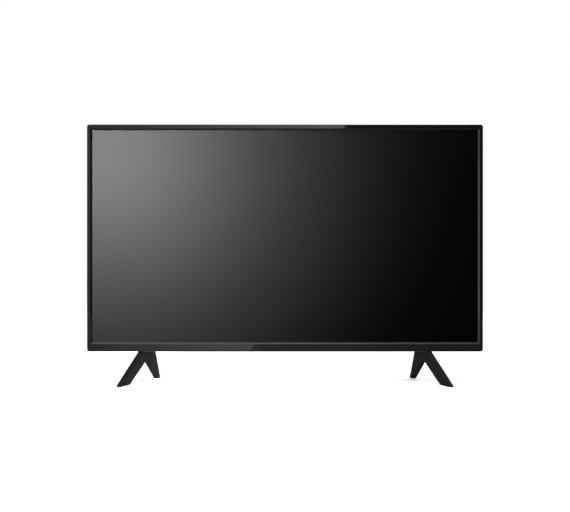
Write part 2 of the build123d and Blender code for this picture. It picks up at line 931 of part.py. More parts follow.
def make_shield_cans():
    """Tuner can with its aerial barrel, and the small can over the wireless module."""
    barrel_y = tuner_body[1] / 2
    mouth = at_mouth(tuner_x, board_bottom, DOWN)
    with BuildPart() as shield_cans:
        with BuildSketch(mouth):
            Rectangle(tuner_body[0], tuner_body[1], align=LOW_EDGE)
        extrude(amount=-tuner_body[2])
        with BuildSketch(mouth):
            with Locations((0, barrel_y)):
                Circle(aerial_barrel_radius)
        extrude(amount=aerial_barrel_length)
        with BuildSketch(mouth.offset(aerial_barrel_length)):
            with Locations((0, barrel_y)):
                Circle(aerial_bore_radius)
        extrude(amount=-aerial_bore_depth, mode=Mode.SUBTRACT)
        with BuildSketch(at_depth(board_back)):
            with Locations(radio_place):
                Rectangle(*radio_size)
        extrude(amount=-radio_height)
    save(shield_cans, "shield_cans")


def side_mouth(height):
    """Mouth plane of a socket that faces the viewer's left at this height."""
    return at_mouth(side_mouth_x, height, TO_SIDE)


def lower_mouth(x):
    """Mouth plane of a socket that faces down at this place across the set."""
    return at_mouth(x, lower_mouth_z, DOWN)


def hdmi_mouths():
    """Mouth planes of the three HDMI sockets."""
    return [side_mouth(height) for height in hdmi_side_heights] + [lower_mouth(hdmi_lower_x)]


def make_tongued_sockets(label, mouths, body, mouth, tongue, corner_cut):
    """Metal shells with a plastic tongue in the mouth, which may have its lower corners cut."""
    with BuildPart() as sockets:
        for plane in mouths:
            with BuildSketch(plane):
                Rectangle(body[0], body[1], align=LOW_EDGE)
            extrude(amount=-body[2])
            with BuildSketch(plane) as opening:
                with Locations((0, body[1] / 2)):
                    Rectangle(mouth[0], mouth[1])
                if corner_cut:
                    chamfer(opening.vertices().sort_by(Axis.Y)[:2], corner_cut)
            extrude(amount=-mouth[2], mode=Mode.SUBTRACT)
            with BuildSketch(plane.offset(-mouth[2])):
                with Locations((0, body[1] / 2)):
                    Rectangle(tongue[0], tongue[1])
            extrude(amount=tongue[2])
    save(sockets, label)


def make_network_socket():
    """Square socket with a slot over its mouth for the plug's latch."""
    plane = lower_mouth(network_x)
    middle = network_body[1] / 2
    with BuildPart() as network_socket:
        with BuildSketch(plane):
            Rectangle(network_body[0], network_body[1], align=LOW_EDGE)
        extrude(amount=-network_body[2])
        with BuildSketch(plane):
            with Locations((0, middle)):
                Rectangle(network_mouth[0], network_mouth[1])
            with Locations((0, middle + network_mouth[1] / 2)):
                Rectangle(network_latch[0], network_latch[1], align=LOW_EDGE)
        extrude(amount=-network_mouth[2], mode=Mode.SUBTRACT)
    save(network_socket, "network_socket")


def make_audio_jack():
    """Round jack with a collar that fills its hole in the cover."""
    plane = lower_mouth(jack_x)
    middle = jack_body[1] / 2
    with BuildPart() as audio_jack:
        with BuildSketch(plane.offset(-jack_collar_length)):
            Rectangle(jack_body[0], jack_body[1], align=LOW_EDGE)
        extrude(amount=-jack_body[2])
        with BuildSketch(plane.offset(-jack_collar_length)):
            with Locations((0, middle)):
                Circle(jack_collar_radius)
        extrude(amount=jack_collar_length)
        with BuildSketch(plane):
            with Locations((0, middle)):
                Circle(jack_radius)
        extrude(amount=-jack_depth, mode=Mode.SUBTRACT)
    save(audio_jack, "audio_jack")


def make_optical_socket():
    """Square optical socket, and the shutter that hangs in its mouth on two short pins."""
    plane = lower_mouth(optical_x)
    middle = optical_body[1] / 2
    pin_height = middle + optical_mouth[1] / 2 - 2 * shutter_pin_radius
    pin_depth = shutter_setback + shutter_pin_radius
    pin_half = optical_mouth[0] / 2 + shutter_pin_reach
    pin_hole_half = pin_half + running_gap
    leaf_low = middle - optical_mouth[1] / 2 + running_gap
    leaf_width = optical_mouth[0] - 2 * running_gap
    pivot = Plane(
        origin=plane.from_local_coords((0, pin_height, -pin_depth)),
        x_dir=plane.y_dir,
        z_dir=plane.x_dir,
    )
    with BuildPart() as optical_socket:
        with BuildSketch(plane):
            Rectangle(optical_body[0], optical_body[1], align=LOW_EDGE)
        extrude(amount=-optical_body[2])
        with BuildSketch(plane):
            with Locations((0, middle)):
                Rectangle(optical_mouth[0], optical_mouth[1])
        extrude(amount=-optical_mouth[2], mode=Mode.SUBTRACT)
        with BuildSketch(pivot):
            Circle(shutter_pin_radius + shutter_pin_clearance)
        extrude(amount=pin_hole_half, both=True, mode=Mode.SUBTRACT)
    save(optical_socket, "optical_socket")

    with BuildPart() as optical_shutter:
        with BuildSketch(plane.offset(-shutter_setback)):
            with Locations((0, leaf_low)):
                Rectangle(leaf_width, pin_height - leaf_low, align=LOW_EDGE)
        extrude(amount=-shutter_thickness)
        with BuildSketch(pivot):
            Circle(shutter_pin_radius)
        extrude(amount=pin_half, both=True)
    save(optical_shutter, "optical_shutter")


def make_mains_inlet():
    """Two-pole appliance inlet with an open slot, and its two round pins."""
    plane = lower_mouth(mains_pocket_x)
    middle = inlet_body[1] / 2
    slot_floor = plane.offset(-inlet_slot[2])
    with BuildPart() as mains_inlet:
        with BuildSketch(plane):
            Rectangle(inlet_body[0], inlet_body[1], align=LOW_EDGE)
        extrude(amount=-inlet_body[2])
        with BuildSketch(plane):
            with Locations((0, middle)):
                SlotOverall(inlet_slot[0], inlet_slot[1])
        extrude(amount=-inlet_slot[2], mode=Mode.SUBTRACT)
    save(mains_inlet, "mains_inlet")
    with BuildPart() as inlet_pins:
        with BuildSketch(slot_floor):
            with Locations((0, middle)):
                with GridLocations(inlet_pin_spacing, 0, 2, 1):
                    Circle(inlet_pin_radius)
        extrude(amount=inlet_pin_length)
    save(inlet_pins, "inlet_pins")


def make_power_parts():
    """Transformer and mains choke, wound on ferrite cores, and the round capacitors."""
    with BuildPart() as power_coils:
        with BuildSketch(at_depth(board_back)):
            with Locations(transformer_place):
                Rectangle(transformer_core[0], transformer_winding[1])
                Rectangle(transformer_winding[0], transformer_core[1])
        extrude(amount=-transformer_height)
        with BuildSketch(at_depth(board_back)):
            with Locations(choke_place):
                Rectangle(*choke_size)
        extrude(amount=-choke_height)
    save(power_coils, "power_coils")
    with BuildPart() as capacitors:
        for places, radius, height in (
            (bulk_places, bulk_radius, bulk_height),
            (output_places, output_radius, output_height),
        ):
            with BuildSketch(at_depth(board_back)):
                with Locations(*places):
                    Circle(radius)
            extrude(amount=-height)
    save(capacitors, "capacitors")


# Ribbons, plugs and leads


def make_panel_ribbons():
    """Flat cables from the left source board, under the chassis and up to the main board's front."""
    ribbon_low = source_board_bottom + ribbon_start_height
    socket_front = board_front - ribbon_socket_height
    route = (
        (source_board_back, ribbon_low),
        (ribbon_depth, ribbon_low),
        (ribbon_depth, ribbon_socket_z),
        (socket_front, ribbon_socket_z),
    )
    with BuildPart() as panel_ribbons:
        for place in ribbon_places:
            with BuildSketch(Plane.YZ.offset(place)):
                with BuildLine():
                    FilletPolyline(*route, radius=ribbon_bend)
                trace(line_width=ribbon_thickness)
            extrude(amount=ribbon_width / 2, both=True)
        with BuildSketch(at_depth(socket_front)):
            with Locations(*[(place, ribbon_socket_z) for place in ribbon_places]):
                Rectangle(*ribbon_socket_size)
        extrude(amount=-ribbon_socket_height)
    save(panel_ribbons, "panel_ribbons")


def make_lead_plugs():
    """Plugs in both boards where the leads end."""
    signal_places = [(main_plug_x, z) for z in (left_speaker_plug_z, key_plug_z, right_speaker_plug_z)]
    power_places = (main_plug_x, power_plug_z), (power_plug_x, power_plug_z)
    with BuildPart() as lead_plugs:
        with BuildSketch(at_depth(board_back)):
            with Locations(*signal_places, lamp_plug_place):
                Rectangle(plug_size, plug_size)
            with Locations(*power_places):
                Rectangle(plug_size, power_plug_size[0])
        extrude(amount=-plug_height)
    save(lead_plugs, "lead_plugs")


def lead(route, radius):
    """A round lead along straight runs with even bends."""
    with BuildPart() as run:
        with BuildLine() as path:
            FilletPolyline(*route, radius=lead_bend)
        with BuildSketch(Plane(origin=path.line @ 0, z_dir=path.line % 0)):
            Circle(radius)
        sweep()
    return run.part


def make_leads():
    """The harness between the boards, and the leads to the speakers, the keys and the lamp bars."""
    main_end = main_plug_x + plug_size / 2
    power_end = power_plug_x - plug_size / 2
    speaker_end = speaker_x - speaker_length / 2
    left_speaker_lead = lead(
        [
            (-speaker_end, lead_depth, speaker_lead_z),
            (left_lead_x, lead_depth, speaker_lead_z),
            (left_lead_x, lead_depth, left_speaker_plug_z),
            (main_end, lead_depth, left_speaker_plug_z),
        ],
        lead_radius,
    )
    right_speaker_lead = lead(
        [
            (speaker_end, lead_depth, speaker_lead_z),
            (right_lead_x, lead_depth, speaker_lead_z),
            (right_lead_x, lead_depth, right_speaker_plug_z),
            (main_end, lead_depth, right_speaker_plug_z),
        ],
        lead_radius,
    )
    key_lead = lead(
        [
            (key_lead_x, key_board_y, key_board_bottom + key_board_sheet),
            (key_lead_x, key_board_y, key_lead_rise),
            (key_lead_x, lead_depth, key_lead_rise),
            (key_lead_x, lead_depth, key_plug_z),
            (main_end, lead_depth, key_plug_z),
        ],
        lead_radius,
    )
    lamp_lead = lead(
        [
            (lamp_plug_place[0] + plug_size / 2, lead_depth, lamp_plug_place[1]),
            (lamp_lead_x, lead_depth, lamp_plug_place[1]),
            (lamp_lead_x, lead_depth, lamp_lead_height),
            (lamp_lead_x, tray_floor_front, lamp_lead_height),
        ],
        lead_radius,
    )
    with BuildPart() as power_harness:
        with BuildSketch(Plane.YZ.offset(power_end)):
            with Locations((lead_depth, power_plug_z)):
                Circle(harness_radius)
        extrude(amount=main_end - power_end)
    save(power_harness, "power_harness")
    with BuildPart() as signal_leads:
        add([left_speaker_lead, right_speaker_lead, key_lead, lamp_lead])
    save(signal_leads, "signal_leads")


# Loudspeakers


def both_speakers():
    """The middles of both speaker boxes, as X and Y."""
    return Locations((-speaker_x, speaker_y), (speaker_x, speaker_y))


def slot_frustum(x, low_size, low, high_size, high):
    """A round-ended form that tapers upwards over one speaker's middle."""
    with BuildPart() as form:
        for size, height in ((low_size, low), (high_size, high)):
            with BuildSketch(Plane.XY.offset(height)):
                with Locations((x, speaker_y)):
                    SlotOverall(*size)
        loft(ruled=True)
    return form.part


def grown(size, margin):
    """Length and width of a slot made larger by the margin on every side."""
    return size[0] + 2 * margin, size[1] + 2 * margin


flange_size = (driver_length, driver_width)
driver_opening = grown(flange_size, -driver_rim)
basket_back = (basket_back_length, basket_back_width)
cone_rim = (cone_length, cone_width)
cone_crown = (cone_top_length, cone_top_width)


def make_speaker_boxes():
    """Sealed boxes with a round-ended opening in the bottom wall, on foam gaskets."""
    inner_size = (speaker_length - 2 * speaker_wall, speaker_depth - 2 * speaker_wall)
    with BuildPart() as speaker_boxes:
        with BuildSketch(Plane.XY.offset(speaker_bottom)):
            with both_speakers():
                Rectangle(speaker_length, speaker_depth)
        extrude(amount=speaker_height)
        with BuildSketch(Plane.XY.offset(driver_bottom)):
            with both_speakers():
                Rectangle(*inner_size)
        extrude(amount=speaker_height - 2 * speaker_wall, mode=Mode.SUBTRACT)
        with BuildSketch(Plane.XY.offset(speaker_bottom)):
            with both_speakers():
                SlotOverall(*driver_opening)
        extrude(amount=speaker_wall, mode=Mode.SUBTRACT)
    save(speaker_boxes, "speaker_boxes")
    with BuildPart() as speaker_gaskets:
        with BuildSketch(Plane.XY.offset(cover_floor)):
            with both_speakers():
                SlotOverall(*grown(driver_opening, gasket_width))
                SlotOverall(*driver_opening, mode=Mode.SUBTRACT)
        extrude(amount=gasket_height)
    save(speaker_gaskets, "speaker_gaskets")


def make_speaker_baskets():
    """Pressed baskets: a flat flange, a tapering bowl and a back plate pierced for the coil."""
    outer_low = grown(flange_size, -basket_wall)
    inner_low = grown(outer_low, -basket_wall)
    inner_high = grown(basket_back, -basket_wall)
    hollow_top = basket_top - basket_wall
    places = (-speaker_x, speaker_x)
    bowls = [slot_frustum(x, outer_low, flange_top, basket_back, basket_top) for x in places]
    hollows = [slot_frustum(x, inner_low, flange_top, inner_high, hollow_top) for x in places]
    with BuildPart() as speaker_baskets:
        add(bowls)
        add(hollows, mode=Mode.SUBTRACT)
        with BuildSketch(Plane.XY.offset(driver_bottom)):
            with both_speakers():
                SlotOverall(*flange_size)
                SlotOverall(*driver_opening, mode=Mode.SUBTRACT)
        extrude(amount=driver_flange)
        with BuildSketch(Plane.XY.offset(basket_top)):
            with both_speakers():
                Circle(coil_radius + magnet_slot_margin)
        extrude(amount=-basket_wall, mode=Mode.SUBTRACT)
    save(speaker_baskets, "speaker_baskets")


def make_speaker_magnets():
    """Magnets with the ring-shaped gap that the voice coil moves in."""
    with BuildPart() as speaker_magnets:
        with BuildSketch(Plane.XY.offset(basket_top)):
            with both_speakers():
                Circle(magnet_radius)
        extrude(amount=magnet_height)
        with BuildSketch(Plane.XY.offset(basket_top)):
            with both_speakers():
                Circle(coil_radius + magnet_slot_margin)
                Circle(coil_radius - coil_wall - magnet_slot_margin, mode=Mode.SUBTRACT)
        extrude(amount=magnet_slot_depth, mode=Mode.SUBTRACT)
    save(speaker_magnets, "speaker_magnets")


def make_speaker_cone(x, side_name):
    """One speaker's cone with its coil tube, and the soft surround between it and the basket."""
    cone_inner_low = grown(cone_rim, -cone_wall)
    cone_inner_high = grown(cone_crown, -cone_wall)
    outer = slot_frustum(x, cone_rim, cone_bottom, cone_crown, cone_top)
    inner = slot_frustum(x, cone_inner_low, cone_bottom, cone_inner_high, cone_top - cone_wall)
    with BuildPart() as speaker_cone:
        add(outer)
        add(inner, mode=Mode.SUBTRACT)
        with BuildSketch(Plane.XY.offset(cone_top)):
            with Locations((x, speaker_y)):
                Circle(coil_radius)
                Circle(coil_radius - coil_wall, mode=Mode.SUBTRACT)
        extrude(amount=coil_length)
    save(speaker_cone, f"speaker_cone_{side_name}")

    seat = grown(driver_opening, surround_seat)
    roll = slot_frustum(x, seat, flange_top, cone_rim, cone_bottom)
    inner_rim = grown(cone_rim, -surround_width)
    roll_hollow = slot_frustum(x, driver_opening, flange_top, inner_rim, cone_bottom)
    with BuildPart() as speaker_surround:
        add(roll)
        add(roll_hollow, mode=Mode.SUBTRACT)
    save(speaker_surround, f"speaker_surround_{side_name}")


# Keys and remote receiver


def make_key_board():
    """Small board over the cover's bottom, with the switch and the receiver on its underside."""
    with BuildPart() as key_board:
        with BuildSketch(Plane.XY.offset(key_board_bottom)):
            with Locations((0, key_board_y)):
                Rectangle(*key_board_size)
        extrude(amount=key_board_sheet)
    save(key_board, "key_board")

    with BuildPart() as key_switch:
        with BuildSketch(Plane.XY.offset(key_board_bottom)):
            with Locations((button_x, key_board_y)):
                Rectangle(switch_size, switch_size)
        extrude(amount=-switch_height)
        with BuildSketch(Plane.XY.offset(key_board_bottom - switch_height)):
            with Locations((button_x, key_board_y)):
                Circle(plunger_radius + running_gap)
        extrude(amount=switch_bore_depth, mode=Mode.SUBTRACT)
    save(key_switch, "key_switch")

    with BuildPart() as infrared_receiver:
        with BuildSketch(Plane.XY.offset(key_board_bottom)):
            with Locations((receiver_x, key_board_y)):
                Rectangle(*receiver_size)
        extrude(amount=-receiver_height)
    save(infrared_receiver, "infrared_receiver")


def make_power_button():
    """Round button that a flange keeps in the cover, and the switch plunger that it pushes."""
    with BuildPart() as power_button:
        with BuildSketch(Plane.XY.offset(button_bottom)):
            with Locations((button_x, key_board_y)):
                Circle(button_radius)
        extrude(amount=button_height)
        with BuildSketch(Plane.XY.offset(cover_floor)):
            with Locations((button_x, key_board_y)):
                Circle(button_flange_radius)
        extrude(amount=button_flange_height)
    save(power_button, "power_button")
    with BuildPart() as switch_plunger:
        with BuildSketch(Plane.XY.offset(button_top)):
            with Locations((button_x, key_board_y)):
                Circle(plunger_radius)
        extrude(amount=plunger_height)
    save(switch_plunger, "switch_plunger")


def make_receiver_window():
    """Dark window, flush under the cover and flanged inside it."""
    with BuildPart() as receiver_window:
        with BuildSketch(Plane.XY.offset(cover_bottom)):
            with Locations((receiver_x, key_board_y)):
                Rectangle(*window_size)
        extrude(amount=cover_wall)
        with BuildSketch(Plane.XY.offset(cover_floor)):
            with Locations((receiver_x, key_board_y)):
                Rectangle(*grown(window_size, window_flange))
        extrude(amount=window_flange_height)
    save(receiver_window, "receiver_window")


# Rear cover


def cover_form(inset):
    """Outer form of the cover, or with an inset the hollow in it: a slim tray and a deep lower box."""
    corner = corner_radius - cover_step
    radius = max(corner - inset, corner / 2)
    with BuildPart() as slim_form:
        with BuildSketch(at_depth(cover_front)):
            cabinet_rectangle(cover_step + inset, radius)
        extrude(amount=cover_front - rim_back)
        with BuildSketch(at_depth(rim_back)):
            cabinet_rectangle(cover_step + inset, radius)
        with BuildSketch(at_depth(slim_back - inset)):
            cabinet_rectangle(cover_step + inset + slim_slope_run, radius)
        loft(ruled=True)
    with BuildPart() as bulge_form:
        with BuildSketch(Plane.YZ):
            with BuildLine():
                Polyline(
                    (cover_front, cover_bottom),
                    (bulge_back, cover_bottom),
                    (bulge_back, bulge_shoulder),
                    (slim_back, bulge_top),
                    (cover_front, bulge_top),
                    close=True,
                )
            make_face()
            if inset:
                offset(amount=-inset, kind=Kind.INTERSECTION, mode=Mode.REPLACE)
        extrude(amount=cabinet_width / 2, both=True)
        with BuildSketch(Plane.XY.offset(cabinet_bottom)):
            with BuildLine():
                Polyline(
                    (-bulge_base_half, cover_front),
                    (-bulge_base_half, slim_back),
                    (-bulge_back_half, bulge_back),
                    (bulge_back_half, bulge_back),
                    (bulge_base_half, slim_back),
                    (bulge_base_half, cover_front),
                    close=True,
                )
            make_face()
            if inset:
                offset(amount=-inset, kind=Kind.INTERSECTION, mode=Mode.REPLACE)
        extrude(amount=cabinet_height, mode=Mode.INTERSECT)
        fillet(bulge_form.faces().sort_by(Axis.Y)[-1].edges(), bulge_corner_radius - inset)
    return slim_form.part + bulge_form.part


def pocket_form(growth):
    """The recesses for the signal sockets and the mains inlet, or with growth the walls round them."""
    left = -bulge_base_half - cut_overrun
    low = pocket_bottom - growth
    lip = pocket_lip + growth
    top = pocket_top + growth
    wall_x = growth - pocket_wall_x
    end_x = growth - pocket_end_x
    mains_height = pocket_lip - pocket_bottom
    with BuildPart() as form:
        with BuildSketch(at_depth(pocket_floor - growth)):
            with BuildLine():
                Polyline(
                    (left, low),
                    (end_x, low),
                    (end_x, lip),
                    (wall_x, lip),
                    (wall_x, top),
                    (left, top),
                    close=True,
                )
            make_face()
            with Locations((mains_pocket_x, pocket_bottom + mains_height / 2)):
                Rectangle(*grown((mains_pocket_width, mains_height), growth))
        extrude(amount=-(bulge_back - pocket_floor + growth + cut_overrun))
    return form.part


def socket_cuts():
    """Every square socket's mouth plane with its width and height."""
    cuts = [(plane, hdmi_body) for plane in hdmi_mouths()]
    cuts += [(side_mouth(height), usb_body) for height in usb_side_heights]
    cuts += [(lower_mouth(network_x), network_body), (lower_mouth(optical_x), optical_body)]
    return cuts + [(lower_mouth(mains_pocket_x), inlet_body)]


def foot_plan(side, height):
    """Level plane at a foot: local x runs out and forward along the blade."""
    turn = radians(foot_turn)
    along = (side * sin(turn), -cos(turn), 0)
    return Plane(origin=(side * foot_x, foot_y, height), x_dir=along, z_dir=(0, 0, 1))


def make_rear_cover():
    """Moulded shell with socket recesses, vents, screw bosses, foot seats and key board posts."""
    outer = cover_form(0)
    pockets = pocket_form(0)
    cavity = cover_form(cover_wall) - pocket_form(cover_wall)
    cut_half = cover_wall + socket_setback
    round_cuts = (
        (jack_x, jack_body[1] / 2, jack_collar_radius),
        (tuner_x, tuner_body[1] / 2, aerial_barrel_radius),
    )
    with BuildPart() as rear_cover:
        add(outer)
        add(pockets, mode=Mode.SUBTRACT)
        add(cavity, mode=Mode.SUBTRACT)

        with BuildSketch(at_depth(bead_back)):
            with Locations(*cover_screw_places()):
                Circle(cover_boss_radius)
        extrude(amount=bead_back - cover_inner_back)
        with BuildSketch(at_depth(cover_screw_seat)):
            with Locations(*cover_screw_places()):
                Circle(cover_screw_head_radius + screw_clearance)
        extrude(amount=-cut_overrun, mode=Mode.SUBTRACT)
        with BuildSketch(at_depth(bead_back)):
            with Locations(*cover_screw_places()):
                Circle(cover_screw_radius + screw_clearance)
        extrude(amount=-cut_overrun, mode=Mode.SUBTRACT)

        with BuildSketch(at_depth(bulge_back + cut_overrun)):
            with Locations((0, vesa_height)):
                with GridLocations(vesa_spacing, vesa_spacing, 2, 2):
                    Circle(vesa_post_radius + vesa_hole_clearance)
        extrude(amount=2 * cut_overrun + cover_wall, mode=Mode.SUBTRACT)
        with BuildSketch(at_depth(bulge_back)):
            with Locations((0, vent_centre)):
                with GridLocations(vent_spacing, 0, vent_count, 1):
                    Rectangle(vent_width, vent_height)
        extrude(amount=bulge_back - slim_back, mode=Mode.SUBTRACT)
        with BuildSketch(at_depth(slim_back)):
            with Locations((0, high_vent_centre)):
                with GridLocations(high_vent_spacing, 0, high_vent_count, 1):
                    Rectangle(high_vent_width, high_vent_height)
        extrude(amount=cover_wall, mode=Mode.SUBTRACT)

        for plane, body in socket_cuts():
            with BuildSketch(plane):
                with Locations((0, body[1] / 2)):
                    Rectangle(*grown(body, socket_gap))
            extrude(amount=cut_half, both=True, mode=Mode.SUBTRACT)
        for x, rise, radius in round_cuts:
            with BuildSketch(lower_mouth(x)):
                with Locations((0, rise)):
                    Circle(radius + socket_gap)
            extrude(amount=cut_half, both=True, mode=Mode.SUBTRACT)

        for side in (-1, 1):
            with BuildSketch(foot_plan(side, cabinet_bottom)):
                Rectangle(2 * (foot_root_half + foot_seat_margin), foot_thickness + 2 * foot_seat_margin)
            extrude(amount=cover_step)
        with BuildSketch(Plane.XY.offset(cabinet_bottom)):
            with Locations((0, cover_front)):
                Rectangle(cabinet_width, bezel_depth, align=(Align.CENTER, Align.MAX))
        extrude(amount=cover_step, mode=Mode.SUBTRACT)
        for side in (-1, 1):
            with BuildSketch(foot_plan(side, cabinet_bottom)):
                with Locations(*[(place, 0) for place in foot_screw_places]):
                    Circle(foot_screw_radius + screw_clearance)
                with Locations((notch_place, 0)):
                    Rectangle(*grown((foot_tongue_length, foot_tongue_width), running_gap))
            extrude(amount=cover_step + cover_wall, mode=Mode.SUBTRACT)

        with BuildSketch(Plane.XY.offset(cover_floor)):
            with Locations((key_boss_offset, key_board_y), (-key_boss_offset, key_board_y)):
                Circle(key_boss_radius)
        extrude(amount=key_board_rise)
        with BuildSketch(Plane.XY.offset(cover_bottom)):
            with Locations((button_x, key_board_y)):
                Circle(button_radius + running_gap)
            with Locations((receiver_x, key_board_y)):
                Rectangle(*grown(window_size, window_gap))
            with both_speakers():
                with GridLocations(grille_slot_spacing, 0, grille_slot_count, 1):
                    Rectangle(grille_slot_width, grille_slot_length)
        extrude(amount=cover_wall, mode=Mode.SUBTRACT)
    save(rear_cover, "rear_cover")


def make_cover_screws():
    """Screws sunk in the rear cover that bite into the chassis dimples."""
    with BuildPart() as cover_screws:
        with BuildSketch(at_depth(cover_screw_seat)):
            with Locations(*cover_screw_places()):
                Circle(cover_screw_head_radius)
        extrude(amount=-cover_screw_head_height)
        with BuildSketch(at_depth(cover_screw_seat)):
            with Locations(*cover_screw_places()):
                Circle(cover_screw_radius)
        extrude(amount=cover_screw_seat - cover_screw_tip)
    save(cover_screws, "cover_screws")


# Feet


def make_foot(side, label):
    """One foot: a flat V blade with a round notch, a locating tongue and two sunk screw holes."""
    turn = radians(foot_turn)
    blade = Plane(
        origin=(side * foot_x, foot_y, 0),
        x_dir=(side * sin(turn), -cos(turn), 0),
        z_dir=(-cos(turn), -side * sin(turn), 0),
    )
    screw_places = [(place, 0) for place in foot_screw_places]
    with BuildPart() as foot:
        with BuildSketch(blade) as outline:
            with BuildLine():
                Polyline(
                    (-foot_root_half, cabinet_bottom),
                    (foot_root_half, cabinet_bottom),
                    (front_reach, pad_thickness),
                    (front_reach - front_tip_length, pad_thickness),
                    (notch_place, notch_height),
                    (rear_tip_length - rear_reach, pad_thickness),
                    (-rear_reach, pad_thickness),
                    close=True,
                )
            make_face()
            fillet(outline.vertices().sort_by_distance((notch_place, notch_height))[0], notch_radius)
        extrude(amount=foot_thickness / 2, both=True)
        fillet(foot.faces().filter_by(Axis((0, 0, 0), blade.z_dir)).edges(), foot_edge_radius)
        with BuildSketch(foot_plan(side, cabinet_bottom)):
            with Locations((notch_place, 0)):
                Rectangle(foot_tongue_length, foot_tongue_width)
        extrude(amount=foot_tongue_height)
        with BuildSketch(foot_plan(side, 0)):
            with Locations(*screw_places):
                Circle(foot_screw_radius + screw_clearance)
        extrude(amount=cabinet_bottom, mode=Mode.SUBTRACT)
        with BuildSketch(foot_plan(side, 0)):
            with Locations(*screw_places):
                Circle(foot_screw_head_radius + screw_clearance)
        extrude(amount=cabinet_bottom - foot_screw_seat_depth, mode=Mode.SUBTRACT)
    save(foot, label)


def make_foot_screws():
    """Two screws in each foot, up through the cover into the foot bracket."""
    seat = cabinet_bottom - foot_screw_seat_depth
    with BuildPart() as foot_screws:
        for side in (-1, 1):
            with BuildSketch(foot_plan(side, seat)):
                with Locations(*[(place, 0) for place in foot_screw_places]):
                    Circle(foot_screw_head_radius)
            extrude(amount=-foot_screw_head_height)
            with BuildSketch(foot_plan(side, seat)):
                with Locations(*[(place, 0) for place in foot_screw_places]):
                    Circle(foot_screw_radius)
            extrude(amount=foot_screw_seat_depth + foot_screw_reach)
    save(foot_screws, "foot_screws")


def make_foot_pads():
    """Rubber pads under the four tips."""
    pad_width = foot_thickness - 2 * pad_inset
    tips = (
        (front_reach - front_tip_length / 2, front_tip_length - 2 * pad_inset),
        (rear_tip_length / 2 - rear_reach, rear_tip_length - 2 * pad_inset),
    )
    with BuildPart() as foot_pads:
        for side in (-1, 1):
            for middle, length in tips:
                with BuildSketch(foot_plan(side, 0)):
                    with Locations((middle, 0)):
                        Rectangle(length, pad_width)
                extrude(amount=pad_thickness)
    save(foot_pads, "foot_pads")


make_front_bezel()
make_panel_cushions()
make_cell()
make_driver_films()
make_source_boards()
make_middle_frame()
make_film_stack()
make_reflector()
make_lamp_bars()
make_lamp_lenses()
make_diffuser_supports()
make_rear_chassis()
make_vesa_mounting()
make_foot_brackets()
make_board_standoffs()
make_chassis_screws()
make_board("main_board", main_board_x, main_board_width)
make_board("power_board", power_board_x, power_board_width)
make_board_chips()
make_heat_sinks()
make_shield_cans()
make_tongued_sockets("hdmi_sockets", hdmi_mouths(), hdmi_body, hdmi_mouth, hdmi_tongue, hdmi_corner_cut)
usb_mouths = [side_mouth(height) for height in usb_side_heights]
make_tongued_sockets("usb_sockets", usb_mouths, usb_body, usb_mouth, usb_tongue, 0)
make_network_socket()
make_audio_jack()
make_optical_socket()
make_mains_inlet()
make_power_parts()
make_panel_ribbons()
make_lead_plugs()
make_leads()
make_speaker_boxes()
make_speaker_baskets()
make_speaker_magnets()
make_speaker_cone(-speaker_x, "left")
make_speaker_cone(speaker_x, "right")
make_key_board()
make_power_button()
make_receiver_window()
make_rear_cover()
make_cover_screws()
make_foot(-1, "foot_left")
make_foot(1, "foot_right")
make_foot_screws()
make_foot_pads()
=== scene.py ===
"""Flat television on two splayed feet, seen from the front against white.

Metres. X is the viewer's right, Y runs from the screen to the back and Z is up. The solids come from
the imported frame. Each section below dresses one piece or group of like pieces, in the order in which
the set is put together, and adds the fine detail that its solids leave out.
"""

from math import atan2, pi, radians, tau

import bmesh
import bpy
import numpy as np
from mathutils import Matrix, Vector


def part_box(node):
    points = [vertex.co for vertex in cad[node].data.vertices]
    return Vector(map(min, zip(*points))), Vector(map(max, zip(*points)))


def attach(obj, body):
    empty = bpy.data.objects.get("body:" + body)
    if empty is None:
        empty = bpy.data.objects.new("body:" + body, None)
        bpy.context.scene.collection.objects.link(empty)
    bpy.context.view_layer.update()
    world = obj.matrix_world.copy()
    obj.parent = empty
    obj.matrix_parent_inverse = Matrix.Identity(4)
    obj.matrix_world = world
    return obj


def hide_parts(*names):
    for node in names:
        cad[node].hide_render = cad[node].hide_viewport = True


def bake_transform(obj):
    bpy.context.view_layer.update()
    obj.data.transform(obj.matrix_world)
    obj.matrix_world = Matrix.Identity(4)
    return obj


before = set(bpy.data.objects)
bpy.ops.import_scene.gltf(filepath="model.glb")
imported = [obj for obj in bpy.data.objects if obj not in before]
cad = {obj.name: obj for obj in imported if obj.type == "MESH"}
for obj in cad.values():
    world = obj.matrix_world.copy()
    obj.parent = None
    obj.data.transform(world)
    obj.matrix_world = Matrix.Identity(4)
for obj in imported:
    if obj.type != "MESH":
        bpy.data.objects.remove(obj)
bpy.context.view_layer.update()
scene = bpy.context.scene


# Camera: level, square to the screen, two and two thirds metres away and a little above the middle of the
# set, with a lens that spans the width of the photograph's frame of 570 by 512.
camera_distance = 2.667
camera_height = 0.3082
camera = bpy.data.objects.new("camera", bpy.data.cameras.new("camera"))
camera.location = (0, -camera_distance, camera_height)
camera.rotation_euler = (pi / 2, 0, 0)
camera.data.sensor_fit = "HORIZONTAL"
camera.data.sensor_width = 36
camera.data.lens = 69.1
scene.collection.objects.link(camera)
scene.camera = camera
scene.view_settings.view_transform = "Standard"


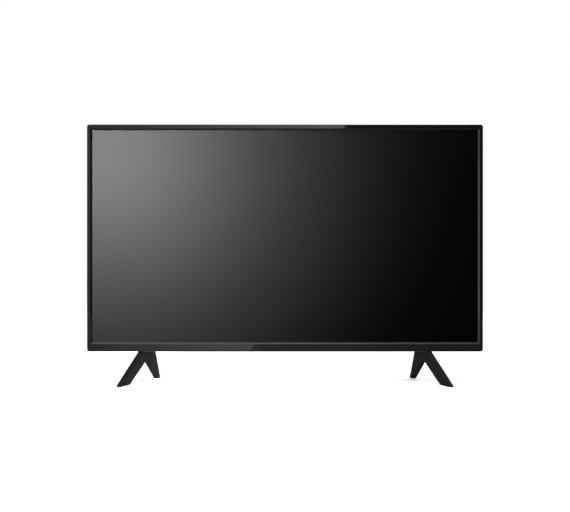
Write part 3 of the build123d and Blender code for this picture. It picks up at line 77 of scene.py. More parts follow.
# Front bezel: one frame moulded in black gloss plastic, polished in the tool so that it mirrors the
# room, with the faintest ripple and a haze of fine dust. It clips over the panel's edge. The power
# button is of the same plastic.
class Number:
    """A number over a surface. A sum written with it adds one Math node for each operation."""

    def __init__(self, nodes, socket):
        self.nodes = nodes
        self.socket = socket

    def math(self, operation, *values):
        return self.nodes.make("Math", {"operation": operation}, dict(enumerate(values)))

    def __add__(self, other):
        return self.math("ADD", self, other)

    def __sub__(self, other):
        return self.math("SUBTRACT", self, other)

    def __rsub__(self, other):
        return self.math("SUBTRACT", other, self)

    def __mul__(self, other):
        return self.math("MULTIPLY", self, other)

    def __mod__(self, other):
        return self.math("FLOORED_MODULO", self, other)

    def __rmod__(self, other):
        return self.math("FLOORED_MODULO", other, self)

    def __gt__(self, other):
        return self.math("GREATER_THAN", self, other)

    def __lt__(self, other):
        return self.math("LESS_THAN", self, other)

    __radd__ = __add__
    __rmul__ = __mul__


class Nodes:
    """A node tree with one shader, and the two ways to build on it."""

    def __init__(self, tree, shader):
        self.tree = tree
        self.shader = tree.nodes[shader]

    def make(self, kind, settings, inputs, output=0):
        """Add a node, set it up, give its inputs their values or links, and return one output."""
        node = self.tree.nodes.new("ShaderNode" + kind)
        for setting, value in settings.items():
            setattr(node, setting, value)
        for place, value in inputs.items():
            if isinstance(value, Number):
                self.tree.links.new(value.socket, node.inputs[place])
            else:
                node.inputs[place].default_value = value
        return Number(self, node.outputs[output])

    def feed(self, socket, value):
        """Link a varying value to the shader."""
        self.tree.links.new(value.socket, self.shader.inputs[socket])
        return self


class Finish(Nodes):
    """One material: a principled shader with constant values, and the nodes that feed it."""

    def __init__(self, name, **constants):
        self.material = bpy.data.materials.new(name)
        self.material.use_nodes = True
        super().__init__(self.material.node_tree, "Principled BSDF")
        self.place = self.make("TexCoord", {}, {}, "Object")
        for socket, value in constants.items():
            self.shader.inputs[socket.replace("_", " ")].default_value = value

    def noise(self, size, detail=2.0, stretch=(1, 1, 1)):
        """Soft noise from nought to one, in blotches of about one size in metres."""
        place = self.make("Mapping", {}, {"Vector": self.place, "Scale": stretch})
        return self.make("TexNoise", {}, {"Vector": place, "Scale": 1 / size, "Detail": detail})

    def axis(self, number):
        """The place along X, Y or Z in metres."""
        return self.make("SeparateXYZ", {}, {"Vector": self.place}, number)

    def between(self, share, low, high):
        """A colour that goes from one to another with a share. Either may itself be a colour link. A
        Mix node on colours has its share at socket 0, its two ends at 6 and 7 and its result at 2."""
        ends = [part if isinstance(part, Number) else (*part, 1.0) for part in (low, high)]
        return self.make("Mix", {"data_type": "RGBA"}, {0: share, 6: ends[0], 7: ends[1]}, 2)

    def coloured(self, share, colour, spread):
        """Base colour that wanders by a spread either side of its value."""
        low, high = (tuple(part * (1 + turn * spread) for part in colour) for turn in (-1, 1))
        return self.feed("Base Color", self.between(share, low, high))

    def rough(self, share, low, high):
        """Roughness that goes from one value to another with a share."""
        return self.feed("Roughness", low + (high - low) * share)

    def raised(self, height, depth):
        """Relief of a real depth in metres, for a height from nought to one."""
        bump = self.make("Bump", {}, {"Strength": 1.0, "Distance": depth, "Height": height})
        return self.feed("Normal", bump)

    def on(self, *names):
        """Give this finish to solids of the frame."""
        for name in names:
            cad[name].data.materials.clear()
            cad[name].data.materials.append(self.material)
        return self


piano_black = Finish("piano_black", Coat_Weight=1.0, Coat_Roughness=0.04, Specular_IOR_Level=0.4)
dust = piano_black.noise(0.0016, detail=4.0)
piano_black.coloured(dust, (0.0085, 0.0085, 0.0087), spread=0.12)
piano_black.rough(piano_black.noise(0.05), 0.06, 0.1)
piano_black.raised(piano_black.noise(0.012, detail=1.0), depth=0.000004)
piano_black.on("front_bezel", "power_button")


# Liquid crystal cell: two panes of thin glass with a plastic polariser bonded to each face. The front
# one is black with an anti-glare skin, a fine etched grain that spreads each reflection. Foam cushions
# seat it, and the driver films fold round its lower edge to two narrow boards.
anti_glare = Finish("anti_glare", Specular_IOR_Level=0.06, Roughness=0.51)
etched = anti_glare.noise(0.0007, detail=3.0)
anti_glare.coloured(etched, (0.0003, 0.0003, 0.00032), spread=0.2)
anti_glare.raised(etched, depth=0.0000015)
anti_glare.on("front_polariser")

rear_film = Finish("rear_film", Specular_IOR_Level=0.3)
rear_film.coloured(rear_film.noise(0.03), (0.02, 0.021, 0.024), spread=0.25)
rear_film.rough(rear_film.noise(0.004), 0.25, 0.4)
rear_film.on("rear_polariser")

pane = Finish("pane", IOR=1.52, Transmission_Weight=0.85)
pane.coloured(pane.noise(0.2), (0.78, 0.86, 0.84), spread=0.03)
pane.rough(pane.noise(0.05), 0.03, 0.07)
pane.on("colour_filter_glass", "tft_glass")

foam_cells_per_metre = 1800.0
foam = Finish("foam", Specular_IOR_Level=0.15)
cells = foam.make("TexVoronoi", {}, {"Vector": foam.place, "Scale": foam_cells_per_metre})
foam.coloured(cells, (0.035, 0.035, 0.037), spread=0.4)
foam.rough(cells, 0.85, 1.0)
foam.raised(cells, depth=0.0002)
foam.on("panel_cushions", "speaker_gaskets")

film_track_pitch = 0.0008
film_track_width = 0.00045
polyimide = Finish("polyimide", Specular_IOR_Level=0.5)
copper = polyimide.axis(0) % film_track_pitch < film_track_width
polyimide.feed("Base Color", polyimide.between(copper, (0.42, 0.17, 0.03), (0.52, 0.27, 0.07)))
polyimide.rough(polyimide.noise(0.01), 0.25, 0.4)
polyimide.raised(copper, depth=0.00002)
polyimide.on("driver_films", "panel_ribbons")


# Boards: glass-fibre laminate under green solder mask, with copper tracks that show through it as
# paler lines, and tinned vias. The same laminate carries the keys and the panel's drivers. The
# tracks' spacing and width and the vias' radius are in cells of their patterns.
track_cell = 0.0032
track_spacing = 0.24
track_width = 0.09
vias_per_metre = 220.0
via_radius = 0.13
solder_mask = Finish("solder_mask", Specular_IOR_Level=0.5)
grid = solder_mask.make("Mapping", {}, {"Vector": solder_mask.place, "Scale": (1, 0, 1)})
patch = solder_mask.make(
    "TexVoronoi", {"distance": "MANHATTAN"}, {"Vector": grid, "Scale": 1 / track_cell}
)
track = patch % track_spacing < track_width
via = solder_mask.make("TexVoronoi", {}, {"Vector": grid, "Scale": vias_per_metre}) < via_radius
laminate = solder_mask.between(track, (0.006, 0.075, 0.024), (0.016, 0.14, 0.045))
solder_mask.feed("Base Color", solder_mask.between(via, laminate, (0.62, 0.6, 0.52)))
solder_mask.feed("Metallic", via)
solder_mask.rough(solder_mask.noise(0.02), 0.28, 0.42)
solder_mask.raised(track, depth=0.00004)
solder_mask.on("main_board", "power_board", "key_board", "source_boards")


# Middle frame: a dull black moulding with a fine texture, which holds the film stack and takes the
# cell's weight. The boxes of the loudspeakers are moulded in the same plastic.
frame_plastic = Finish("frame_plastic", Specular_IOR_Level=0.3)
sparks = frame_plastic.noise(0.0009, detail=3.0)
frame_plastic.coloured(sparks, (0.02, 0.02, 0.021), spread=0.2)
frame_plastic.rough(sparks, 0.5, 0.7)
frame_plastic.raised(sparks, depth=0.00003)
frame_plastic.on("middle_frame", "speaker_boxes")


# Film stack: a prism sheet, a diffuser sheet and a milky plate, over a foamed white reflector that is
# bored for the lamps. The lenses and the supports between the lamps are clear and white plastic. The
# lamp bars are boards faced in white, with narrow bare strips across them.
prism_pitch = 0.00025
milky = Finish("milky", Subsurface_Weight=0.2, Subsurface_Radius=(0.001, 0.001, 0.001))
milky.coloured(milky.noise(0.08), (0.86, 0.87, 0.87), spread=0.03)
milky.rough(milky.noise(0.002), 0.35, 0.5)
milky.raised(milky.axis(2) % prism_pitch * (1 / prism_pitch), depth=0.00002)
milky.on("optical_sheets", "diffuser_plate")

foamed_white = Finish("foamed_white", Specular_IOR_Level=0.2)
foamed_white.coloured(foamed_white.noise(0.06), (0.88, 0.88, 0.87), spread=0.03)
foamed_white.rough(foamed_white.noise(0.003), 0.6, 0.8)
foamed_white.raised(foamed_white.noise(0.0008), depth=0.00002)
foamed_white.on("reflector_sheet", "diffuser_supports")

lens_clear = Finish("lens_clear", Transmission_Weight=0.8, IOR=1.49)
lens_clear.coloured(lens_clear.noise(0.01), (0.93, 0.94, 0.95), spread=0.02)
lens_clear.rough(lens_clear.noise(0.004), 0.04, 0.1)
lens_clear.on("lamp_lenses")

bare_pitch = 0.031
bare_width = 0.0016
white_bar = Finish("white_bar", Specular_IOR_Level=0.4)
bare = white_bar.axis(0) % bare_pitch < bare_width
white_bar.feed("Base Color", white_bar.between(bare, (0.84, 0.84, 0.82), (0.7, 0.55, 0.3)))
white_bar.rough(white_bar.noise(0.004), 0.35, 0.5)
white_bar.on("lamp_bars")


# Pressed steel: the rear chassis, the wall-mount and foot brackets, standoffs and speaker baskets are
# zinc-coated sheet, whose crystals show as patches of slightly different shine, with fine rolling
# lines along the sheet.
crystals_per_metre = 130.0
galvanised = Finish("galvanised", Metallic=0.9)
crystal = galvanised.make(
    "TexVoronoi",
    {"feature": "SMOOTH_F1"},
    {"Vector": galvanised.place, "Scale": crystals_per_metre},
    "Color",
)
shade = galvanised.make("SeparateColor", {}, {0: crystal})
galvanised.coloured(shade, (0.55, 0.56, 0.57), spread=0.12)
galvanised.rough(shade, 0.34, 0.52)
galvanised.raised(galvanised.noise(0.0006, stretch=(0.05, 1, 1)), depth=0.00001)
galvanised.on("rear_chassis", "vesa_brackets", "foot_brackets", "board_standoffs", "speaker_baskets")


# Wall-mount posts: four bushes turned from steel bar and riveted to the channels, with chamfered faces
# and bores for metric six screws. The bores' walls are smooth and up to a fifth of a millimetre off
# centre, because turned() keeps its pitch of one metre for them, and no thread shows.
def skin(name, points, finish, body="set"):
    """A closed piece over grids of points, copies by rows by columns. Each point is joined to the next
    in its row, which closes on itself, and to those of the next row. Points that meet become one.
    Without a body the piece is left without a parent."""
    copies, rows, columns = points.shape[:3]
    number = np.arange(copies * rows * columns).reshape(copies, rows, columns)
    after = np.roll(number, -1, axis=2)
    corners = np.stack((number[:, :-1], after[:, :-1], after[:, 1:], number[:, 1:]), axis=-1)
    mesh = bpy.data.meshes.new(name)
    mesh.from_pydata(points.reshape(-1, 3).tolist(), [], corners.reshape(-1, 4).tolist())
    shell = bmesh.new()
    shell.from_mesh(mesh)
    bmesh.ops.remove_doubles(shell, verts=shell.verts, dist=1e-7)
    bmesh.ops.recalc_face_normals(shell, faces=shell.faces)
    shell.to_mesh(mesh)
    shell.free()
    mesh.shade_smooth()
    mesh.set_sharp_from_angle(angle=radians(32))
    mesh.materials.append(finish.material)
    piece = bpy.data.objects.new(name, mesh)
    scene.collection.objects.link(piece)
    if body:
        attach(piece, body)
    return piece


def turned(profile, columns, pitch=1.0):
    """Rows of points round an axis. Each row of the profile is a radius, a height and a thread's depth,
    and the radius changes by depth * |2 * fraction(height / pitch - turns) - 1|."""
    radius, height, thread = (part[:, None] for part in np.transpose(profile))
    turns = np.arange(columns) / columns
    wave = np.abs(2 * np.mod(height / pitch - turns, 1) - 1)
    reach = radius + thread * wave
    return np.stack((reach * np.cos(tau * turns), reach * np.sin(tau * turns), height + 0 * wave), -1)


def thread_rows(radius, start, stop, pitch, depth):
    """Profile rows down a length, eight to each pitch, with no depth at the two ends."""
    heights = np.linspace(start, stop, int(abs(stop - start) / pitch * 8) + 1)
    depths = np.full_like(heights, depth)
    depths[[0, -1]] = 0
    return np.stack((np.full_like(heights, radius), heights, depths), -1)


def placed(form, places, across, up, out):
    """Copies of a form at several places, with its three directions turned to the ones given."""
    return np.asarray(places)[:, None, None] + form @ np.array((across, up, out), dtype=float)


turned_steel = Finish("turned_steel", Metallic=1.0)
tool_marks = turned_steel.noise(0.0002)
turned_steel.coloured(tool_marks, (0.6, 0.6, 0.61), spread=0.08)
turned_steel.rough(tool_marks, 0.22, 0.36)
turned_steel.raised(tool_marks, depth=0.000006)

facing_back = ((1, 0, 0), (0, 0, 1), (0, 1, 0))
post_low, post_high = map(np.array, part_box("vesa_posts"))
post_length = post_high[1] - post_low[1]
post_radius = 0.007
face_chamfer = 0.0005
bore_radius = 0.0025
bore_mouth = 0.0009
bore_length = 0.022
bore_end = 0.0234
bore_pitch = 0.001
bore_depth = 0.0004
post_profile = np.concatenate((
    (
        (0, 0, 0),
        (post_radius, 0, 0),
        (post_radius, post_length - face_chamfer, 0),
        (post_radius - face_chamfer, post_length, 0),
        (bore_radius + bore_mouth, post_length, 0),
    ),
    thread_rows(
        bore_radius, post_length - bore_mouth, post_length - bore_length, bore_pitch, bore_depth
    ),
    ((0, post_length - bore_end, 0),),
))
post_places = [
    (x, post_low[1], z)
    for x in (post_low[0] + post_radius, post_high[0] - post_radius)
    for z in (post_low[2] + post_radius, post_high[2] - post_radius)
]
post_form = turned(post_profile, columns=48)
posts = skin("tapped_posts", placed(post_form, post_places, *facing_back), turned_steel)
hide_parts("vesa_posts")


# Board parts: chips in matt black moulding, tinned cans over the tuner and the radio, folded and
# finned aluminium heat sinks, and tinned socket shells.
moulding = Finish("chip_moulding", Specular_IOR_Level=0.35)
grit = moulding.noise(0.0003, detail=3.0)
moulding.coloured(grit, (0.018, 0.018, 0.019), spread=0.3)
moulding.rough(grit, 0.55, 0.75)
moulding.raised(grit, depth=0.00002)
moulding.on("board_chips", "key_switch", "infrared_receiver", "switch_plunger")

tinned = Finish("tinned", Metallic=1.0)
tinned.coloured(tinned.noise(0.004), (0.66, 0.66, 0.64), spread=0.08)
tinned.rough(tinned.noise(0.0015, detail=3.0), 0.2, 0.36)
tinned.raised(tinned.noise(0.0012, detail=1.0), depth=0.000008)
tinned.on("shield_cans", "hdmi_sockets", "usb_sockets", "chassis_screws")

fin_metal = Finish("fin_metal", Metallic=1.0)
drawn = fin_metal.noise(0.0005, stretch=(1, 1, 0.04))
fin_metal.coloured(drawn, (0.72, 0.72, 0.73), spread=0.08)
fin_metal.rough(drawn, 0.3, 0.45)
fin_metal.raised(drawn, depth=0.00001)
fin_metal.on("heat_sinks")


# Contacts: thin strips of gold-plated bronze laid along the sockets' tongues, eight round springs in
# the network socket, and turned pins, tube and ring of nickel-plated brass in the round sockets.
def carried(path, width, thickness, sides=8):
    """A flat wire along a path in the plane of its second and third directions. An ellipse of the width
    and thickness stands square to the path at each point, and shrinks to nothing at the two ends."""
    path = np.asarray(path, dtype=float)
    run = np.gradient(path, axis=0)
    run /= np.linalg.norm(run, axis=1)[:, None]
    size = np.ones((len(path), 1))
    size[[0, -1]] = 0
    angle = tau * np.arange(sides) / sides
    side = size * np.cos(angle) * width / 2
    rise = size * np.sin(angle) * thickness / 2
    return np.stack(
        (side, path[:, :1] - rise * run[:, 1:], path[:, 1:] + rise * run[:, :1]), axis=-1
    )


contact_gold = Finish("contact_gold", Metallic=1.0)
plated = contact_gold.noise(0.0005, detail=3.0)
contact_gold.coloured(plated, (0.83, 0.6, 0.25), spread=0.06)
contact_gold.rough(plated, 0.16, 0.3)

board_back = 0.0476
side_mouth_x = -0.3295
lower_mouth_z = 0.1785
facing_side = ((0, 0, 1), (0, 1, 0), (-1, 0, 0))
facing_down = ((-1, 0, 0), (0, 1, 0), (0, 0, -1))
video_side_z = (0.318, 0.292)
video_lower_x = -0.3
data_z = (0.266, 0.242)
video_side_mouths = [(side_mouth_x, board_back, z) for z in video_side_z]
video_lower_mouths = [(video_lower_x, board_back, lower_mouth_z)]
data_mouths = [(side_mouth_x, board_back, z) for z in data_z]
strip_thickness = 0.00016
strip_shares = np.array((0, 0.02, 0.5, 0.98, 1))


def contact_rows(faces, offsets, mouths, directions, depth, length, width):
    """Straight strips on the faces of a tongue, one for each offset across it, in every mouth. A face
    is given by its height over the board, and a strip starts at a depth inside the mouth."""
    grids = []
    for face in faces:
        path = np.stack((face + 0 * strip_shares, -depth - length * strip_shares), axis=-1)
        strip = carried(path, width, strip_thickness)
        grids += [placed(strip + (offset, 0, 0), mouths, *directions) for offset in offsets]
    return np.concatenate(grids)


video_pitch = 0.001
video_faces = (0.0024, 0.0038)
video_offsets = (np.arange(10) - 4.5) * video_pitch
video_contacts = [
    contact_rows(
        video_faces, video_offsets, mouths, directions, depth=0.0024, length=0.0064, width=0.00045
    )
    for mouths, directions in ((video_side_mouths, facing_side), (video_lower_mouths, facing_down))
]
data_faces = (0.0026,)
data_offsets = (-0.0035, -0.001, 0.001, 0.0035)
data_contacts = contact_rows(
    data_faces, data_offsets, data_mouths, facing_side, depth=0.0038, length=0.008, width=0.001
)
skin("tongue_contacts", np.concatenate((*video_contacts, data_contacts)), contact_gold)

network_x = -0.226
network_mouth = [(network_x, board_back, lower_mouth_z)]
spring_pitch = 0.00102
spring_offsets = (np.arange(8) - 3.5) * spring_pitch
spring_path = [
    (0.0029, -0.0012),
    (0.0030, -0.0016),
    (0.0030, -0.0028),
    (0.0034, -0.0038),
    (0.0052, -0.0085),
    (0.0061, -0.0118),
    (0.0062, -0.0122),
]
spring = carried(spring_path, width=0.00045, thickness=0.00035)
springs = [placed(spring + (offset, 0, 0), network_mouth, *facing_down) for offset in spring_offsets]
skin("network_springs", np.concatenate(springs), contact_gold)

nickel = Finish("nickel", Metallic=1.0)
nickel.coloured(nickel.noise(0.001), (0.72, 0.66, 0.48), spread=0.06)
nickel.rough(nickel.noise(0.0008), 0.18, 0.3)

pin_low, pin_high = map(np.array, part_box("inlet_pins"))
pin_radius = (pin_high[1] - pin_low[1]) / 2
pin_length = pin_high[2] - pin_low[2]
tip = np.linspace(0, pi / 2, 7)
pin_profile = np.concatenate((
    ((0, 0, 0), (pin_radius, 0, 0), (pin_radius, pin_length - pin_radius, 0)),
    np.stack((pin_radius * np.cos(tip), pin_length + pin_radius * (np.sin(tip) - 1), 0 * tip), -1)[1:],
))
pin_places = [
    (x, pin_low[1] + pin_radius, pin_high[2])
    for x in (pin_low[0] + pin_radius, pin_high[0] - pin_radius)
]
pin_form = turned(pin_profile, columns=32)
pins = skin("rounded_pins", placed(pin_form, pin_places, *facing_down), nickel)
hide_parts("inlet_pins")

inside_depth = 0.004
jack_x = -0.254
jack_axis = 0.0045
jack_mouth = [(jack_x, board_back + jack_axis, lower_mouth_z)]
ring_bore = 0.00175
ring_radius = 0.0030
ring_face = 0.00025
ring_edge = 0.0001
ring_wall = 0.00006
ring_inner_round = 0.00015
ring_outer_round = 0.0002
ring_profile = (
    (ring_bore, -inside_depth, 0),
    (ring_bore, ring_edge, 0),
    (ring_bore + ring_inner_round, ring_face, 0),
    (ring_radius - ring_outer_round, ring_face, 0),
    (ring_radius, ring_edge, 0),
    (ring_radius, -ring_edge, 0),
    (ring_bore + ring_wall, -inside_depth, 0),
    (ring_bore, -inside_depth, 0),
)
ring = turned(ring_profile, columns=48)
skin("jack_ring", placed(ring, jack_mouth, *facing_down), nickel)

aerial_x = -0.186
aerial_axis = 0.0055
aerial_reach = 0.0095
aerial_mouth = [(aerial_x, board_back + aerial_axis, lower_mouth_z - aerial_reach)]
tube_bore = 0.0008
tube_radius = 0.0012
tube_edge = 0.0026
tube_face = 0.0028
tube_profile = (
    (tube_bore, -inside_depth, 0),
    (tube_bore, tube_edge, 0),
    ((tube_bore + tube_radius) / 2, tube_face, 0),
    (tube_radius, tube_edge, 0),
    (tube_radius, -inside_depth, 0),
    (tube_bore, -inside_depth, 0),
)
tube = turned(tube_profile, columns=32)
skin("aerial_tube", placed(tube, aerial_mouth, *facing_down), nickel)


# Socket bodies: the network, audio, optical and mains sockets are moulded in black plastic from an
# eroded tool, so that they are finely pitted and half matt.
socket_black = Finish("socket_black", Specular_IOR_Level=0.4)
eroded = socket_black.noise(0.0004, detail=3.0)
socket_black.coloured(eroded, (0.016, 0.016, 0.017), spread=0.2)
socket_black.rough(eroded, 0.4, 0.55)
socket_black.raised(eroded, depth=0.000015)
socket_black.on("network_socket", "audio_jack", "optical_socket", "optical_shutter", "mains_inlet")


# Windings: the transformer and the choke, wrapped in yellow tape that is laid in turns up the coil,
# with a narrow dark gap between one turn and the next.
turn_pitch = 0.005
turn_width = 0.0048
winding_tape = Finish("winding_tape", Specular_IOR_Level=0.5)
tape = winding_tape.axis(2) % turn_pitch < turn_width
winding_tape.feed("Base Color", winding_tape.between(tape, (0.12, 0.09, 0.02), (0.62, 0.46, 0.06)))
winding_tape.rough(winding_tape.noise(0.003), 0.25, 0.4)
winding_tape.raised(tape, depth=0.00008)
winding_tape.on("power_coils")


# Capacitors: aluminium cans, each in a sleeve of dark blue plastic that is shrunk on and shows a
# slight shine and a faint ripple.
sleeve = Finish("capacitor_sleeve", Coat_Weight=0.3)
sleeve.coloured(sleeve.noise(0.01), (0.012, 0.013, 0.04), spread=0.2)
sleeve.rough(sleeve.noise(0.002), 0.2, 0.35)
sleeve.raised(sleeve.noise(0.003, detail=1.0), depth=0.00003)
sleeve.on("capacitors")


# Plugs and leads: white nylon housings, and tinned copper strands in soft black insulation with a
# little waxy shine.
nylon = Finish("nylon", Subsurface_Weight=0.1, Subsurface_Radius=(0.001, 0.001, 0.0008))
nylon.coloured(nylon.noise(0.004), (0.8, 0.78, 0.7), spread=0.04)
nylon.rough(nylon.noise(0.0008), 0.4, 0.55)
nylon.raised(nylon.noise(0.0006), depth=0.00001)
nylon.on("lead_plugs")

insulation = Finish("insulation", Specular_IOR_Level=0.45)
insulation.coloured(insulation.noise(0.006), (0.022, 0.022, 0.023), spread=0.25)
insulation.rough(insulation.noise(0.0015), 0.4, 0.55)
insulation.raised(insulation.noise(0.0009), depth=0.00002)
insulation.on("power_harness", "signal_leads")


# Loudspeakers: black pulp cones pressed on mesh, rubber rolls round them, and grey ferrite magnets.
# Each roll is held under its cone's rim and on the basket's flange. The foot pads are of the same
# rubber.
pulp = Finish("pulp", Specular_IOR_Level=0.15)
fibres = pulp.noise(0.0006, detail=5.0, stretch=(1, 0.3, 1))
pulp.coloured(fibres, (0.04, 0.04, 0.04), spread=0.45)
pulp.rough(fibres, 0.8, 0.95)
pulp.raised(fibres, depth=0.00012)
pulp.on("speaker_cone_left", "speaker_cone_right")

rubber = Finish("rubber", Specular_IOR_Level=0.3)
bloom = rubber.noise(0.002, detail=3.0)
rubber.coloured(bloom, (0.016, 0.016, 0.016), spread=0.25)
rubber.rough(bloom, 0.6, 0.8)
rubber.raised(rubber.noise(0.0006), depth=0.00002)
rubber.on("foot_pads")

cone_half_length = 0.029
cone_half_width = 0.0065
rim_height = 0.0862
flange_height = 0.0837
rubber_half = 0.00022
tuck_height = rim_height - 0.0003
tuck_start = -0.002
tuck_stop = -0.0006
roll_reach = 0.004
roll_inset = 0.0001
roll_top = rim_height - 0.0004
roll_foot = flange_height + 0.0003
roll_sag = 0.0015
lap_height = flange_height + 0.00025
lap_start = roll_reach + 0.0004
lap_stop = roll_reach + 0.0019


def surround(centre):
    """A half-roll surround as a closed ring. Its section runs under the cone's rim, hangs through half a
    sine wave and lies on the flange, half a thickness either side of that line. The section is carried
    round a slot: a half circle at each end, with a radius of the cone's half width and the place on the
    section, and straight sides between."""
    hang = np.linspace(0, 1, 15)
    hung = np.stack((
        roll_reach * hang - roll_inset,
        roll_top + (roll_foot - roll_top) * hang - roll_sag * np.sin(pi * hang),
    ), -1)
    line = np.concatenate((
        ((tuck_start, tuck_height), (tuck_stop, tuck_height)),
        hung,
        ((lap_start, lap_height), (lap_stop, lap_height)),
    ))
    run = np.gradient(line, axis=0)
    square = np.stack((-run[:, 1], run[:, 0]), -1) / np.linalg.norm(run, axis=1)[:, None]
    section = np.concatenate((line + rubber_half * square, (line - rubber_half * square)[::-1]))
    section = np.concatenate((section, section[:1]))
    half_turn = np.linspace(-pi / 2, pi / 2, 21)
    angle = np.concatenate((half_turn, half_turn + pi))
    end = (cone_half_length - cone_half_width) * np.repeat((1, -1), len(half_turn))
    radius = cone_half_width + section[:, :1]
    return np.stack((
        centre[0] + end + radius * np.cos(angle),
        centre[1] + radius * np.sin(angle),
        section[:, 1:] + 0 * angle,
    ), -1)[None]


for side_name in ("left", "right"):
    cone_low, cone_high = map(np.array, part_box(f"speaker_cone_{side_name}"))
    middle = (cone_low + cone_high) / 2
    roll = skin(f"rolled_surround_{side_name}", surround(middle), rubber, None)
    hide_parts(f"speaker_surround_{side_name}")
    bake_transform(roll)

ferrite = Finish("ferrite", Specular_IOR_Level=0.4, Metallic=0.1)
ferrite.coloured(ferrite.noise(0.0012, detail=4.0), (0.09, 0.09, 0.095), spread=0.25)
ferrite.rough(ferrite.noise(0.0009), 0.5, 0.7)
ferrite.raised(ferrite.noise(0.0007, detail=3.0), depth=0.00004)
ferrite.on("speaker_magnets")


# Receiver window: a small pane of plastic, tinted so dark a red that it looks black and lets infrared
# through to the receiver behind it, with a polished face.
tinted = Finish("tinted", Coat_Weight=0.5, Specular_IOR_Level=0.5)
tinted.coloured(tinted.noise(0.004), (0.02, 0.003, 0.006), spread=0.1)
tinted.rough(tinted.noise(0.002), 0.08, 0.14)
tinted.on("receiver_window")


# Rear cover: one deep moulding in black plastic with a spark-eroded texture, matt and slightly
# speckled, a touch smoother where it has been handled.
pits_per_metre = 1100.0
spark_black = Finish("spark_black", Specular_IOR_Level=0.35)
pits = spark_black.make(
    "TexVoronoi", {"feature": "SMOOTH_F1"}, {"Vector": spark_black.place, "Scale": pits_per_metre}
)
spark_black.coloured(spark_black.noise(0.0012, detail=4.0), (0.0175, 0.0175, 0.018), spread=0.2)
spark_black.rough(spark_black.noise(0.09, detail=3.0), 0.52, 0.66)
spark_black.raised(pits, depth=0.00009)
spark_black.on("rear_cover")


# Feet: two blades moulded in charcoal plastic with a very fine, even texture, screwed up under the
# cabinet. Each stands on rubber pads.
blade_plastic = Finish("blade_plastic", Specular_IOR_Level=0.05)
grain = blade_plastic.noise(0.0005, detail=3.0)
blade_plastic.coloured(grain, (0.0172, 0.0172, 0.0175), spread=0.12)
blade_plastic.rough(grain, 0.55, 0.7)
blade_plastic.raised(grain, depth=0.000015)
blade_plastic.on("foot_left", "foot_right")


# Screws: steel, blackened, with pan heads pressed with a cross recess and rolled threads. Ten hold the
# rear cover to the chassis, and four go up through the feet.
blackened = Finish("blackened", Metallic=0.8)
blackened.coloured(blackened.noise(0.0015), (0.05, 0.05, 0.052), spread=0.2)
blackened.rough(blackened.noise(0.0006, detail=3.0), 0.3, 0.48)
blackened.raised(blackened.noise(0.0004), depth=0.00001)
blackened.on("foot_screws")

head_radius = 0.0032
head_height = 0.002
shank_radius = 0.0015
screw_length = 0.0046
screw_pitch = 0.0006
thread_depth = 0.14 * shank_radius
thread_start = -0.0003
thread_stop = 0.0006 - screw_length
point_radius = 0.7 * shank_radius
crown_rows = 28
crown_radius = 0.9 * head_radius
crown_fall = 0.2
shoulder = 0.62 * head_height
seat_edge = 0.12 * head_height
seat_radius = 0.97 * head_radius
recess_depth = 0.0011
recess_slope = 2.2
arm_half = 0.16 * head_radius
arm_reach = 0.6 * head_radius


def cross_head_screw():
    """A screw with its head's outer face upwards and its seat at nought. The head's top falls in a
    parabola by a fifth of its height, and a cross is sunk in it: the depth at a point is its distance
    inside the cross's outline times the recess's slope, up to the recess's depth."""
    crown = np.linspace(0, 1, crown_rows)
    top = np.stack((crown * crown_radius, head_height * (1 - crown_fall * crown**2), 0 * crown), -1)
    under = (
        (head_radius, shoulder, 0),
        (head_radius, seat_edge, 0),
        (seat_radius, 0, 0),
        (shank_radius, 0, 0),
    )
    shank = thread_rows(shank_radius, thread_start, thread_stop, screw_pitch, -thread_depth)
    point = ((point_radius, -screw_length, 0), (0, -screw_length, 0))
    form = turned(np.concatenate((top, under, shank, point)), columns=64, pitch=screw_pitch)
    across, up = np.abs(form[:crown_rows, :, 0]), np.abs(form[:crown_rows, :, 1])
    inside = np.maximum(
        np.minimum(arm_half - across, arm_reach - up), np.minimum(arm_half - up, arm_reach - across)
    )
    form[:crown_rows, :, 2] -= np.clip(recess_slope * inside, 0, recess_depth)
    return form


cover_low, cover_high = map(np.array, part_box("cover_screws"))
cover_seat = 0.0394
outer_x = cover_high[0] - head_radius
inner_x = 0.26
top_z = cover_high[2] - head_radius
low_z = cover_low[2] + head_radius
side_spacing = 0.15
cover_places = [
    (side * x, cover_seat, z)
    for side in (-1, 1)
    for x, z in (
        (outer_x, low_z),
        (outer_x, low_z + side_spacing),
        (outer_x, low_z + 2 * side_spacing),
        (outer_x, top_z),
        (inner_x, top_z),
    )
]
cover_form = placed(cross_head_screw(), cover_places, *facing_back)
holding = skin("cross_head_cover_screws", cover_form, blackened)
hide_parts("cover_screws")


# Studio: a pale floor that keeps the set's shadow and glows a little to the camera, more with its
# distance from the middle, and white surroundings that light the set less than they show.
def stage_sheet(name, corners, finish):
    """One flat four-cornered sheet of the studio."""
    mesh = bpy.data.meshes.new(name)
    mesh.from_pydata(corners, [], [(0, 1, 2, 3)])
    sheet = bpy.data.objects.new(name, mesh)
    scene.collection.objects.link(sheet)
    mesh.materials.append(finish.material)
    return sheet


def ramp(nodes, value, start, stop):
    """A number that follows another in a straight line between two ends and holds still past them.
    Each end is a value and the number there."""
    ends = {"From Min": start[0], "To Min": start[1], "From Max": stop[0], "To Max": stop[1]}
    return nodes.make("MapRange", {}, {"Value": value, **ends})


